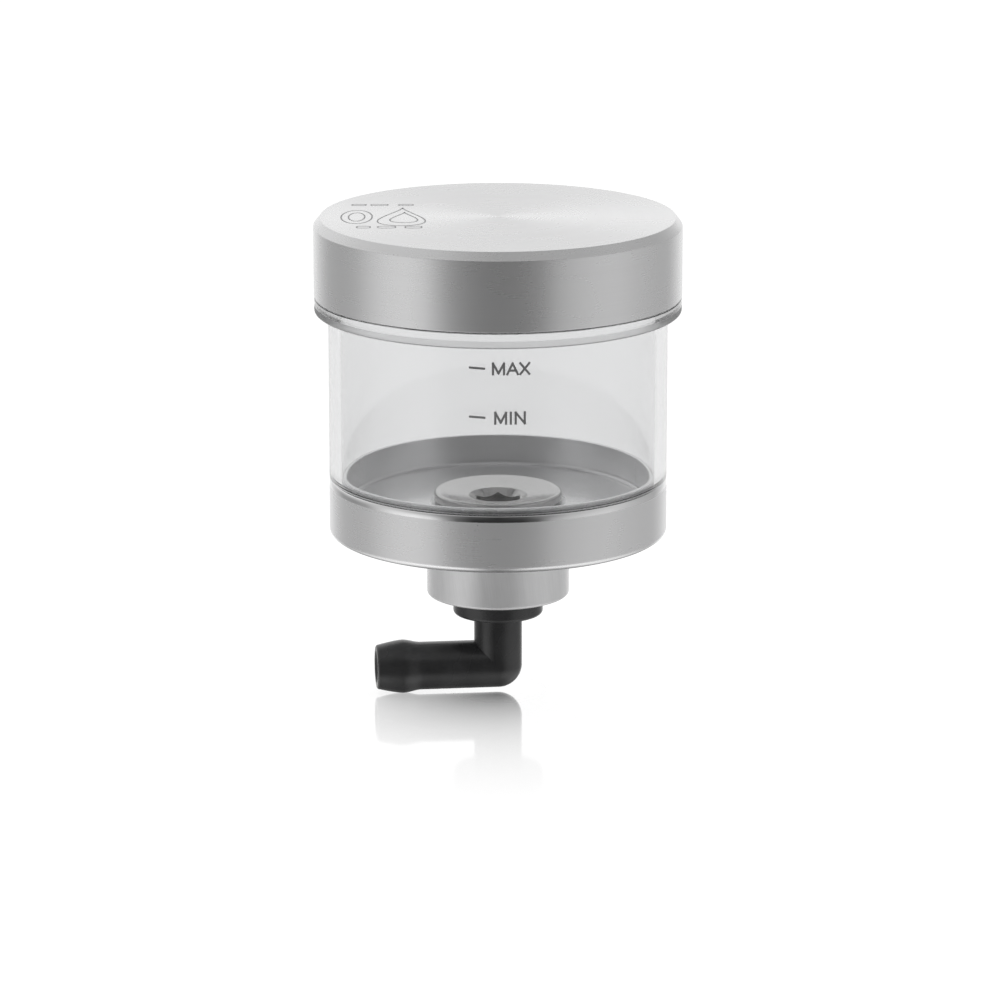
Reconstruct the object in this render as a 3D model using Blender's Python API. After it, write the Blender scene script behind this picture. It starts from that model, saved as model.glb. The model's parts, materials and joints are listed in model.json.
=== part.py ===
"""Motorcycle brake-fluid reservoir with a screw cap, a clear cup and a swivelling hose elbow.

Frame: metres, +Z up. The origin is the centre of the base's underside, where a bracket is clamped
between the base and the boss. The level marks face -Y and the hose elbow points to -X.
Every size below is in millimetres, and is turned into metres where a mesh is made.
"""

import math

import bmesh
import bpy
import numpy as np
from mathutils import Matrix

MM = 0.001
MERGE = 1e-7  # metres, for points that coincide

# Roundness
BODY_STEPS = 60
STACK_STEPS = 48
SMALL_STEPS = 36
SEAL_STEPS = 30
ELBOW_STEPS = 28
THREAD_STEPS = 48  # for one turn

# Fits
RESTING_GAP = 0.3  # between two faces that rest on each other
SLIDE_GAP = 0.2

# Cup: a clear tube with a flat foot, and a thread above its flange
CUP_RADIUS = 23.08
CUP_BORE = 21.45
LEDGE_HEIGHT = 8.0  # of the base's ledge that the cup stands on
FLANGE_RADIUS = 24.95
FLANGE_BOTTOM = 31.0
FLANGE_TOP = 33.0
FLANGE_ROUND = 0.35
RIM_HEIGHT = 39.6
NECK_RADIUS = 22.95  # at the thread's root

# Thread between cup and cap
PITCH = 2.0
THREAD_DEPTH = 0.6
THREAD_CREST = 0.45  # width along the axis
THREAD_FLANK = math.radians(30)
THREAD_EMBED = 0.3  # how far a ridge reaches into its wall
THREAD_TURNS = 1.75
RUN_OUT = math.radians(35)  # over which a ridge fades at its ends
NECK_THREAD_START = 35.0
CAP_THREAD_START = 34.2

# Cap
CAP_RADIUS = 25.0
CAP_TOP = 43.93
CAP_BOTTOM = 33.3
CAP_CHAMFER = 0.9
CAP_CHAMFER_HEIGHT = 1.15
CAP_BORE = NECK_RADIUS + THREAD_DEPTH + SLIDE_GAP
CAP_CEILING = 42.2
CAP_EDGE = 0.2  # chamfer of the skirt's outer edge
CAP_LEAD_IN = 0.25  # chamfer of the skirt's inner edge

# Seal stack between the cup's rim and the cap's ceiling
STACK_RADIUS = 22.9
DIAPHRAGM_FLANGE = 1.0
DIAPHRAGM_WALL = 0.8
BELLOWS_RADIUS = 20.9
BELLOWS_BOTTOM = 34.6
BELLOWS_WELL = 9.0  # radius of the flat pad in the diaphragm's middle
BELLOWS_ROUND = 0.6
FOLD_DROP = 1.2  # from the diaphragm's flange down to its fold
FOLD_HALF = 1.4  # half the width of the fold's crest
FOLD_FOOT = 2.0  # from the bellows' wall in to the foot of the fold
FOLD_SPREAD = 0.4  # how much wider the fold's upper face is on each side
SLIP_RING_BORE = 20.6
SLIP_RING_HEIGHT = 0.7

# Base: a dish with a ledge for the cup's foot, and a shallow seal groove in the ledge
BASE_RADIUS = CUP_RADIUS
SEAL_GROOVE_OUT = 22.42
SEAL_GROOVE_IN = 21.6
SEAL_GROOVE_BOTTOM = 7.25
LIP_OUTER_RADIUS = 21.28
RIM_ROUND = 0.93
RIM_ROUND_WIDTH = 0.35
RIM_ROUND_MIDDLE = 0.08  # how far in the round is at half its height
LIP_HEIGHT = 8.6
LIP_RADIUS = 20.72
DISH_FLOOR = 4.4
DISH_CORNER = 0.5
BASE_CHAMFER = 0.85
BRACKET_SEAT = 10.2  # inner radius of the flat ring that a bracket rests on, outside the boss
SEAT_RELIEF = 0.1  # how far the underside is relieved inside that ring

# Centre bolt, M10 with a wide dished head and a drain hole
BOLT_HEAD_RADIUS = 8.75
BOLT_HEAD_TOP = 6.0
BOLT_HEAD_ROUND = 0.4
BOLT_DISH_RADIUS = 6.5  # where the head's dish turns flatter
BOLT_DISH_HEIGHT = 5.6
BOLT_SEAT_RADIUS = 4.0
BOLT_SEAT_HEIGHT = 5.25
BOLT_SHANK = 4.95
BOLT_END = -4.2
BOLT_DRAIN = 2.0
HEX_ACROSS_FLATS = 6.0
HEX_BOTTOM = 2.3
BOLT_TIP_CHAMFER = 0.6
BOLT_SINK_SLOPE = 1.0  # of the countersink inside its seat
BOLT_HOLE = 5.2
BOLT_SEAL_SEAT = 7.3
BOLT_SEAL_SEAT_DEPTH = 0.7

# Clamp boss
BOSS_RADIUS = 9.76
BOSS_TOP = -RESTING_GAP
BOSS_BOTTOM = -8.76
BOSS_CHAMFER = 0.4
BOSS_TOP_CHAMFER = 0.2
BOSS_THREAD = 5.1
BOSS_SEAL_SEAT = 6.6
BOSS_SEAL_SEAT_DEPTH = 1.25
BOSS_SOCKET = 4.6
BOSS_SOCKET_TOP = -4.4
CLIP_GROOVE = 5.0
CLIP_LOW = -8.25
CLIP_HIGH = -7.35

# Static O-rings: wire, and the height of its centre above the seat's floor
BASE_SEAL_WIRE = 0.7
BASE_SEAL_LIFT = 0.4
BOLT_SEAL_WIRE = 0.9
BOLT_SEAL_LIFT = 0.6
BOSS_SEAL_WIRE = 1.0
BOSS_SEAL_LIFT = 0.65
SEAL_PLAY = 0.05

# Elbow
SPIGOT_RADIUS = 4.4
SPIGOT_TOP = -4.7
O_RING_WIRE = 0.8
O_RING_SLOT = 0.95  # width of its groove
O_RING_HEIGHTS = (-5.6, -6.75)
SLOT_BOTTOM = 3.62
CLIP_SLOT = 3.75
COLLAR_RADIUS = 6.17
COLLAR_TOP = -8.98
COLLAR_BOTTOM = -11.6
COLLAR_CHAMFER = 0.4
PIPE_RADIUS = 3.3
PIPE_BORE = 2.0
CORNER_HEIGHT = -18.95
BARB_RADIUS = 3.7
BARB_PEAK = 13.3
BARB_START = 10.7
ELBOW_END = 16.9
ELBOW_TIP = 3.0
BARB_BULGE = 1.35  # power that makes the barb's taper slightly full
ELBOW_HEADING = 6.7  # degrees that the elbow points forward of -X
BEND_STEPS = 7
BORE_BEND_STEPS = 5
BARB_STEPS = 9

# Snap ring
SNAP_RING_GAP = math.radians(30)
SNAP_RING_PLAY = 0.12
SNAP_RING_INSET = 0.15


def finish(name, colour, roughness, metallic=0.0, alpha=1.0):
    """A plain Principled material."""
    material = bpy.data.materials.new(name)
    material.use_nodes = True
    shader = material.node_tree.nodes["Principled BSDF"]
    shader.inputs["Base Color"].default_value = (*colour, 1.0)
    shader.inputs["Roughness"].default_value = roughness
    shader.inputs["Metallic"].default_value = metallic
    shader.inputs["Alpha"].default_value = alpha
    material.diffuse_color = (*colour, alpha)
    return material


def add_object(name, mesh_maker, material):
    """Puts a bmesh into a named object, with its normals pointing out and its round faces smooth."""
    bmesh.ops.remove_doubles(mesh_maker, verts=mesh_maker.verts, dist=MERGE)
    bmesh.ops.dissolve_degenerate(mesh_maker, edges=mesh_maker.edges, dist=MERGE)
    bmesh.ops.recalc_face_normals(mesh_maker, faces=mesh_maker.faces)
    mesh = bpy.data.meshes.new(name)
    mesh_maker.to_mesh(mesh)
    mesh_maker.free()
    mesh.shade_smooth()
    mesh.set_sharp_from_angle(angle=math.radians(35))
    mesh.materials.append(material)
    piece = bpy.data.objects.new(name, mesh)
    bpy.context.scene.collection.objects.link(piece)
    return piece


def turned(name, outline, material, steps=BODY_STEPS):
    """A solid of revolution: a closed outline of (radius, height) points spun once round Z."""
    maker = bmesh.new()
    points = [maker.verts.new((radius * MM, 0.0, height * MM)) for radius, height in outline]
    edges = []
    for first, second in zip(points, points[1:] + points[:1]):
        if first.co.x > 0 or second.co.x > 0:
            edges.append(maker.edges.new((first, second)))
    bmesh.ops.spin(
        maker, geom=points + edges, cent=(0, 0, 0), axis=(0, 0, 1), angle=math.tau, steps=steps, use_merge=True
    )
    return add_object(name, maker, material)


def arc(radius, height, size, start, stop, steps=4):
    """Outline points of a round corner: centre, size, and the two angles in degrees from outward."""
    angles = [math.radians(start + (stop - start) * step / steps) for step in range(steps + 1)]
    return [(radius + size * math.cos(angle), height + size * math.sin(angle)) for angle in angles]


def grid_solid(name, rows, material):
    """A closed solid from rings of points: both the rings and the points of a ring run round in a loop."""
    maker = bmesh.new()
    rings = [[maker.verts.new(point) for point in ring] for ring in rows * MM]
    for ring, after in zip(rings, rings[1:] + rings[:1]):
        for index in range(len(ring)):
            following = (index + 1) % len(ring)
            maker.faces.new((ring[index], ring[following], after[following], after[index]))
    return add_object(name, maker, material)


def hide(helper):
    """Marks an object as a tool for a modifier, which is no part of the model."""
    helper.hide_render = True
    helper.display_type = "WIRE"


def boolean(target, helper, operation):
    """Joins the helper to the target, or cuts it out."""
    modifier = target.modifiers.new(helper.name, "BOOLEAN")
    modifier.operation = operation
    modifier.object = helper
    hide(helper)


def thread_ridge(name, surface, outward, start_height, start_angle, material):
    """A right-hand trapezoid ridge wound on a round wall, fading into the wall at both ends."""
    sign = 1.0 if outward else -1.0
    count = round(THREAD_TURNS * THREAD_STEPS)
    turn = np.linspace(0.0, THREAD_TURNS * math.tau, count + 1)
    to_end = np.minimum(turn, turn[-1] - turn)
    depth = THREAD_DEPTH * np.clip(to_end / RUN_OUT, 0.0, 1.0) - THREAD_EMBED / 2 * (to_end < RUN_OUT / 4)
    root = np.full_like(turn, surface - sign * THREAD_EMBED)
    crest = surface + sign * depth
    crest_half = np.full_like(turn, THREAD_CREST / 2)
    root_half = crest_half + (depth + THREAD_EMBED) * math.tan(THREAD_FLANK)
    height = start_height + PITCH * turn / math.tau
    corners = ((root, -root_half), (crest, -crest_half), (crest, crest_half), (root, root_half))
    angle = turn + start_angle
    maker = bmesh.new()
    rings = []
    for radius, shift in corners:
        line = np.stack((radius * np.cos(angle), radius * np.sin(angle), height + shift), axis=1)
        rings.append([maker.verts.new(point) for point in line * MM])
    for line, after in zip(rings, rings[1:] + rings[:1]):
        for index in range(count):
            maker.faces.new((line[index], line[index + 1], after[index + 1], after[index]))
    for end in (0, -1):
        maker.faces.new([line[end] for line in rings])
    return add_object(name, maker, material)


def make_cup(clear):
    """The clear cup: flat foot, wall, round-edged flange, threaded neck."""
    foot = LEDGE_HEIGHT + RESTING_GAP
    flange_edge = FLANGE_BOTTOM + FLANGE_ROUND
    outline = [
        (CUP_BORE, foot),
        (CUP_RADIUS, foot),
        (CUP_RADIUS, FLANGE_BOTTOM),
        *arc(FLANGE_RADIUS - FLANGE_ROUND, flange_edge, FLANGE_ROUND, -90, 0),
        (FLANGE_RADIUS, FLANGE_TOP),
        (NECK_RADIUS, FLANGE_TOP),
        (NECK_RADIUS, RIM_HEIGHT),
        (CUP_BORE, RIM_HEIGHT),
    ]
    cup = turned("cup", outline, clear)
    boolean(cup, thread_ridge("neck_thread", NECK_RADIUS, True, NECK_THREAD_START, 0.0, clear), "UNION")
    return cup


def make_cap(aluminium):
    """The screw cap: its ridge runs half a pitch away from the cup's, so the two are in mesh."""
    outline = [
        (0.0, CAP_TOP),
        (CAP_RADIUS - CAP_CHAMFER, CAP_TOP),
        (CAP_RADIUS, CAP_TOP - CAP_CHAMFER_HEIGHT),
        (CAP_RADIUS, CAP_BOTTOM + CAP_EDGE),
        (CAP_RADIUS - CAP_EDGE, CAP_BOTTOM),
        (CAP_BORE + CAP_LEAD_IN, CAP_BOTTOM),
        (CAP_BORE, CAP_BOTTOM + CAP_LEAD_IN),
        (CAP_BORE, CAP_CEILING),
        (0.0, CAP_CEILING),
    ]
    cap = turned("cap", outline, aluminium)
    phase = math.tau * (CAP_THREAD_START - NECK_THREAD_START - PITCH / 2) / PITCH
    ridge = thread_ridge("cap_thread", CAP_BORE, False, CAP_THREAD_START, phase, aluminium)
    boolean(cap, ridge, "UNION")
    return cap


def make_seal_stack(silicone, nylon):
    """The folded diaphragm that lies on the cup's rim, and the slip ring that the cap turns on."""
    low = RIM_HEIGHT + RESTING_GAP
    high = low + DIAPHRAGM_FLANGE
    wall = DIAPHRAGM_WALL
    fold = (BELLOWS_RADIUS - wall - BELLOWS_WELL) / 2 + BELLOWS_WELL  # radius of the fold's upper bend
    crest = low - FOLD_DROP
    crest_half = FOLD_HALF + FOLD_SPREAD
    outline = [
        (0.0, BELLOWS_BOTTOM + wall),
        (0.0, BELLOWS_BOTTOM),
        (BELLOWS_WELL, BELLOWS_BOTTOM),
        (fold - FOLD_HALF, crest),
        (fold + FOLD_HALF, crest),
        (BELLOWS_RADIUS - FOLD_FOOT, BELLOWS_BOTTOM),
        (BELLOWS_RADIUS - BELLOWS_ROUND, BELLOWS_BOTTOM),
        (BELLOWS_RADIUS, BELLOWS_BOTTOM + BELLOWS_ROUND),
        (BELLOWS_RADIUS, low),
        (STACK_RADIUS, low),
        (STACK_RADIUS, high),
        (BELLOWS_RADIUS - wall, high),
        (BELLOWS_RADIUS - wall, BELLOWS_BOTTOM + wall),
        (BELLOWS_RADIUS - FOLD_FOOT + FOLD_SPREAD, BELLOWS_BOTTOM + wall),
        (fold + crest_half, crest + wall),
        (fold - crest_half, crest + wall),
        (BELLOWS_WELL - FOLD_SPREAD, BELLOWS_BOTTOM + wall),
    ]
    turned("diaphragm", outline, silicone, STACK_STEPS)
    ring_low = high + RESTING_GAP
    ring_high = ring_low + SLIP_RING_HEIGHT
    ring = [
        (SLIP_RING_BORE, ring_low),
        (STACK_RADIUS, ring_low),
        (STACK_RADIUS, ring_high),
        (SLIP_RING_BORE, ring_high),
    ]
    turned("slip_ring", ring, nylon, STACK_STEPS)


def make_base(aluminium):
    """The dish: ledge with a seal groove, raised lip inside the cup, floor with a bolt hole and a seal seat."""
    seal_seat = DISH_FLOOR - BOLT_SEAL_SEAT_DEPTH
    outline = [
        (BOLT_HOLE, SEAT_RELIEF),
        (BRACKET_SEAT, SEAT_RELIEF),
        (BRACKET_SEAT, 0.0),
        (BASE_RADIUS - BASE_CHAMFER, 0.0),
        *arc(BASE_RADIUS - BASE_CHAMFER, BASE_CHAMFER, BASE_CHAMFER, -60, 0, 2),
        (BASE_RADIUS, LEDGE_HEIGHT - RIM_ROUND),
        (BASE_RADIUS - RIM_ROUND_MIDDLE, LEDGE_HEIGHT - RIM_ROUND / 2),
        (BASE_RADIUS - RIM_ROUND_WIDTH, LEDGE_HEIGHT),
        (SEAL_GROOVE_OUT, LEDGE_HEIGHT),
        (SEAL_GROOVE_OUT, SEAL_GROOVE_BOTTOM),
        (SEAL_GROOVE_IN, SEAL_GROOVE_BOTTOM),
        (SEAL_GROOVE_IN, LEDGE_HEIGHT),
        (LIP_OUTER_RADIUS, LEDGE_HEIGHT),
        (LIP_OUTER_RADIUS, LIP_HEIGHT),
        (LIP_RADIUS, LIP_HEIGHT),
        (LIP_RADIUS, DISH_FLOOR + DISH_CORNER),
        (LIP_RADIUS - DISH_CORNER, DISH_FLOOR),
        (BOLT_SEAL_SEAT, DISH_FLOOR),
        (BOLT_SEAL_SEAT, seal_seat),
        (BOLT_HOLE, seal_seat),
    ]
    return turned("base", outline, aluminium)


def make_centre_bolt(steel):
    """The hollow bolt whose wide dished head drains into its hexagon socket."""
    head_low = DISH_FLOOR + RESTING_GAP
    outline = [
        (BOLT_DRAIN, BOLT_END),
        (BOLT_SHANK - BOLT_TIP_CHAMFER, BOLT_END),
        (BOLT_SHANK, BOLT_END + BOLT_TIP_CHAMFER),
        (BOLT_SHANK, head_low),
        (BOLT_HEAD_RADIUS, head_low),
        *arc(BOLT_HEAD_RADIUS - BOLT_HEAD_ROUND, BOLT_HEAD_TOP - BOLT_HEAD_ROUND, BOLT_HEAD_ROUND, 0, 90, 2),
        (BOLT_DISH_RADIUS, BOLT_DISH_HEIGHT),
        (BOLT_SEAT_RADIUS, BOLT_SEAT_HEIGHT),
        (BOLT_DRAIN, BOLT_SEAT_HEIGHT - (BOLT_SEAT_RADIUS - BOLT_DRAIN) * BOLT_SINK_SLOPE),
    ]
    bolt = turned("centre_bolt", outline, steel, SMALL_STEPS)
    maker = bmesh.new()
    bmesh.ops.create_cone(
        maker,
        cap_ends=True,
        segments=6,
        radius1=HEX_ACROSS_FLATS / math.sqrt(3) * MM,
        radius2=HEX_ACROSS_FLATS / math.sqrt(3) * MM,
        depth=(BOLT_HEAD_TOP - HEX_BOTTOM) * MM,
    )
    centre = (BOLT_HEAD_TOP + HEX_BOTTOM) / 2 * MM
    bmesh.ops.rotate(maker, verts=maker.verts, matrix=Matrix.Rotation(math.radians(30), 3, "Z"))
    bmesh.ops.translate(maker, verts=maker.verts, vec=(0, 0, centre))
    boolean(bolt, add_object("hexagon_cutter", maker, steel), "DIFFERENCE")
    return bolt


def make_boss(aluminium):
    """The round nut under the base: seal seat, thread, and the socket that the elbow plugs into."""
    outline = [
        (BOSS_SEAL_SEAT, BOSS_TOP),
        (BOSS_RADIUS - BOSS_TOP_CHAMFER, BOSS_TOP),
        (BOSS_RADIUS, BOSS_TOP - BOSS_TOP_CHAMFER),
        (BOSS_RADIUS, BOSS_BOTTOM + BOSS_CHAMFER),
        (BOSS_RADIUS - BOSS_CHAMFER, BOSS_BOTTOM),
        (BOSS_SOCKET, BOSS_BOTTOM),
        (BOSS_SOCKET, CLIP_LOW),
        (CLIP_GROOVE, CLIP_LOW),
        (CLIP_GROOVE, CLIP_HIGH),
        (BOSS_SOCKET, CLIP_HIGH),
        (BOSS_SOCKET, BOSS_SOCKET_TOP),
        (BOSS_THREAD, BOSS_SOCKET_TOP),
        (BOSS_THREAD, BOSS_TOP - BOSS_SEAL_SEAT_DEPTH),
        (BOSS_SEAL_SEAT, BOSS_TOP - BOSS_SEAL_SEAT_DEPTH),
    ]
    return turned("clamp_boss", outline, aluminium, STACK_STEPS)


def make_o_ring(name, radius, height, wire, rubber, steps=SEAL_STEPS):
    """A rubber ring of round section, which is a hexagon here."""
    return turned(name, arc(radius, height, wire / 2, 0, 300, 5), rubber, steps)


def make_static_seals(rubber):
    """The O-rings that stay still: cup to base, bolt head to base, boss to bolt."""
    groove = (SEAL_GROOVE_OUT + SEAL_GROOVE_IN) / 2
    make_o_ring("base_seal", groove, SEAL_GROOVE_BOTTOM + BASE_SEAL_LIFT, BASE_SEAL_WIRE, rubber, STACK_STEPS)
    bolt_seat = (BOLT_HOLE + BOLT_SEAL_SEAT) / 2 - 2 * SEAL_PLAY
    bolt_height = DISH_FLOOR - BOLT_SEAL_SEAT_DEPTH + BOLT_SEAL_LIFT
    make_o_ring("bolt_head_seal", bolt_seat, bolt_height, BOLT_SEAL_WIRE, rubber)
    boss_seat = (BOLT_SHANK + BOSS_SEAL_SEAT) / 2 + SEAL_PLAY
    boss_height = BOSS_TOP - BOSS_SEAL_SEAT_DEPTH + BOSS_SEAL_LIFT
    make_o_ring("boss_seal", boss_seat, boss_height, BOSS_SEAL_WIRE, rubber)


def elbow_outside():
    """Rings of the elbow's outer skin, from the spigot's top to the barb's tip."""
    half = O_RING_SLOT / 2
    steps = [(SPIGOT_TOP, SPIGOT_RADIUS)]
    for centre in O_RING_HEIGHTS:
        steps += [(centre + half, SPIGOT_RADIUS), (centre + half, SLOT_BOTTOM)]
        steps += [(centre - half, SLOT_BOTTOM), (centre - half, SPIGOT_RADIUS)]
    steps += [(CLIP_HIGH, SPIGOT_RADIUS), (CLIP_HIGH, CLIP_SLOT), (CLIP_LOW, CLIP_SLOT)]
    steps += [(CLIP_LOW, SPIGOT_RADIUS), (COLLAR_TOP, SPIGOT_RADIUS), (COLLAR_TOP, COLLAR_RADIUS)]
    steps += [(COLLAR_BOTTOM + COLLAR_CHAMFER, COLLAR_RADIUS), (COLLAR_BOTTOM, COLLAR_RADIUS - COLLAR_CHAMFER)]
    steps += [(COLLAR_BOTTOM, PIPE_RADIUS)]
    rings = [upright_ring(height, radius) for height, radius in steps]
    rings += bend_rings(PIPE_RADIUS, BEND_STEPS)
    barb = [BARB_START + (ELBOW_END - BARB_START) * step / BARB_STEPS for step in range(BARB_STEPS + 1)]
    rings += [level_ring(along, barb_radius(along)) for along in barb]
    return rings


def elbow_bore():
    """Rings of the elbow's bore, from the barb's tip back to the spigot's top."""
    bend = bend_rings(PIPE_BORE, BORE_BEND_STEPS)[::-1]
    return [level_ring(ELBOW_END, PIPE_BORE), *bend, upright_ring(SPIGOT_TOP, PIPE_BORE)]


def barb_radius(along):
    """The barb swells smoothly from the pipe to its peak, then tapers with a slight bulge to the tip."""
    if along <= BARB_PEAK:
        part = (along - BARB_START) / (BARB_PEAK - BARB_START)
        return PIPE_RADIUS + (BARB_RADIUS - PIPE_RADIUS) * (1 - math.cos(math.pi * part)) / 2
    part = (along - BARB_PEAK) / (ELBOW_END - BARB_PEAK)
    return BARB_RADIUS + (ELBOW_TIP - BARB_RADIUS) * part**BARB_BULGE


def round_angles():
    """The angles of one ring's points."""
    return np.arange(ELBOW_STEPS) / ELBOW_STEPS * math.tau


def upright_ring(height, radius):
    """A ring round the spigot's axis."""
    angle = round_angles()
    return np.stack((radius * np.cos(angle), radius * np.sin(angle), np.full_like(angle, height)), axis=1)


def level_ring(along, radius):
    """A ring round the hose pipe's axis, at a distance along -X from the spigot's axis."""
    angle = round_angles()
    height = CORNER_HEIGHT - radius * np.cos(angle)
    return np.stack((np.full_like(angle, -along), radius * np.sin(angle), height), axis=1)


def bend_rings(radius, count):
    """Rings of the corner: a quarter of a ball outside, where its inner half folds up into a mitre."""
    angle = round_angles()
    outward = radius * np.cos(angle)
    rings = []
    for step in range(count):
        turn = math.pi / 2 * step / (count - 1)
        across = np.maximum(outward, 0) * math.cos(turn) + np.minimum(outward, 0)
        drop = np.maximum(outward, 0) * math.sin(turn) + np.minimum(outward, 0)
        rings.append(np.stack((across, radius * np.sin(angle), CORNER_HEIGHT - drop), axis=1))
    return rings


def make_elbow(plastic, rubber, steel):
    """The elbow with its two O-rings and its snap ring, turned together about the spigot's axis."""
    axis = bpy.data.objects.new("elbow_axis", None)
    bpy.context.scene.collection.objects.link(axis)
    pieces = [grid_solid("elbow", np.array(elbow_outside() + elbow_bore()), plastic)]
    ring_radius = SLOT_BOTTOM + SEAL_PLAY + O_RING_WIRE / 2
    for name, height in zip(("upper_spigot_o_ring", "lower_spigot_o_ring"), O_RING_HEIGHTS):
        pieces.append(make_o_ring(name, ring_radius, height, O_RING_WIRE, rubber))
    pieces.append(make_snap_ring(steel))
    for piece in pieces:
        piece.parent = axis
    axis.rotation_euler.z = math.radians(ELBOW_HEADING)


def make_snap_ring(steel):
    """An open ring of square wire that holds the spigot in the boss."""
    inner = CLIP_SLOT + SNAP_RING_PLAY
    outer = CLIP_GROOVE - SNAP_RING_INSET
    low = CLIP_LOW + SNAP_RING_PLAY
    high = CLIP_HIGH - SNAP_RING_PLAY
    maker = bmesh.new()
    corners = ((inner, low), (outer, low), (outer, high), (inner, high))
    points = [maker.verts.new((radius * MM, 0, height * MM)) for radius, height in corners]
    section = maker.faces.new(points)
    turn = math.tau - SNAP_RING_GAP
    bmesh.ops.spin(maker, geom=[section], cent=(0, 0, 0), axis=(0, 0, 1), angle=turn, steps=SMALL_STEPS)
    return add_object("snap_ring", maker, steel)


def main():
    """Clears the scene and makes every piece."""
    for old in list(bpy.data.objects):
        bpy.data.objects.remove(old)
    aluminium = finish("brushed_aluminium", (0.78, 0.78, 0.79), 0.3, 1.0)
    clear = finish("clear_acrylic", (0.93, 0.94, 0.95), 0.05, 0.0, 0.3)
    plastic = finish("black_nylon", (0.03, 0.03, 0.032), 0.45)
    rubber = finish("black_rubber", (0.025, 0.025, 0.025), 0.7)
    silicone = finish("grey_silicone", (0.5, 0.5, 0.5), 0.6)
    nylon = finish("white_nylon", (0.8, 0.8, 0.78), 0.5)
    steel = finish("stainless_steel", (0.62, 0.62, 0.61), 0.35, 1.0)
    make_cap(aluminium)
    make_seal_stack(silicone, nylon)
    make_cup(clear)
    make_base(aluminium)
    make_centre_bolt(steel)
    make_boss(aluminium)
    make_static_seals(rubber)
    make_elbow(plastic, rubber, steel)


main()
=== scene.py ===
"""Fine shapes and finishes of a round motorcycle brake-fluid reservoir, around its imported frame.

Sizes in the classes are in millimetres, measured in the frame's own axes: +Z up along the cup,
-Y towards the level marks, and the hose elbow towards -X at rest. Meshes are made in metres.
"""

from __future__ import annotations

import json
import logging
import math
from collections.abc import Callable, Sequence
from dataclasses import dataclass, field
from enum import Enum

import bmesh
import bpy
import numpy as np
from mathutils import Euler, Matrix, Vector

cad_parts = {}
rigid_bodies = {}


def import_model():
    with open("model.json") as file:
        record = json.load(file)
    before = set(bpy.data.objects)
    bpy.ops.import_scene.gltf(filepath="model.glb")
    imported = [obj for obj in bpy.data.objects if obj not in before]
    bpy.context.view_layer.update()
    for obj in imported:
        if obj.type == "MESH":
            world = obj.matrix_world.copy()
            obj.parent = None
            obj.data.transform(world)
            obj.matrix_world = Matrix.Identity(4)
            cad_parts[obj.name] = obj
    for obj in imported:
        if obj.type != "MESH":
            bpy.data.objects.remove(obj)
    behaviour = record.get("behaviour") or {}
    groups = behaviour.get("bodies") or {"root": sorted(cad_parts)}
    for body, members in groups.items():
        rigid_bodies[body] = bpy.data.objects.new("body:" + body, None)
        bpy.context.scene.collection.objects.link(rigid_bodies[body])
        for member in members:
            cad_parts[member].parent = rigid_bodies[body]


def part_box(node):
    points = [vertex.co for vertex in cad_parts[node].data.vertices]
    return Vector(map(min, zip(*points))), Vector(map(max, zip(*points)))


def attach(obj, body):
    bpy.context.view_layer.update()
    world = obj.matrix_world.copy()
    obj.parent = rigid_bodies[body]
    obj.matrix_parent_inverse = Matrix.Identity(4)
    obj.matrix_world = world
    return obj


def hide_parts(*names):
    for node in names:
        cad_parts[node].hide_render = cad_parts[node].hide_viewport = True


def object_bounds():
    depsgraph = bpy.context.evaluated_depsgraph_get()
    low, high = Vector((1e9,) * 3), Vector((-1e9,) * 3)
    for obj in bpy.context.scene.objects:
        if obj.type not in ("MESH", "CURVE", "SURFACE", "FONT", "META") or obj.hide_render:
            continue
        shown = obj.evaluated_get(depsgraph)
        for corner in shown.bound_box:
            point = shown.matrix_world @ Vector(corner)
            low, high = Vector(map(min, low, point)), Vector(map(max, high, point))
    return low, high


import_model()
cad_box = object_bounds()

LOG = logging.getLogger("reservoir")

MM = 0.001
WELD = 2e-7  # metres, for points that coincide
SHARP_EDGE = math.radians(38)

BODY_STEPS = 288
SMALL_STEPS = 192
SEAL_STEPS = 144
WIRE_STEPS = 16
ELBOW_STEPS = 96

Array = np.ndarray
Corner = tuple[float, float, float]
Relief = Callable[[Array, Array, Array], Array]


class Axis(Enum):
    """The line that a ring of points goes round."""

    UPRIGHT = "the cup's and the spigot's axis"
    LEVEL = "the hose pipe's axis"


class Grain(Enum):
    """How the surface was worked, which sets the way its fine lines run."""

    TURNED = "lines that run round the axis"
    DRAWN = "lines that run along the axis"


# ---------------------------------------------------------------- shape


def unit(vectors: Array) -> Array:
    """Scales each row to length one."""
    return vectors / np.maximum(np.linalg.norm(vectors, axis=-1, keepdims=True), 1e-12)


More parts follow.
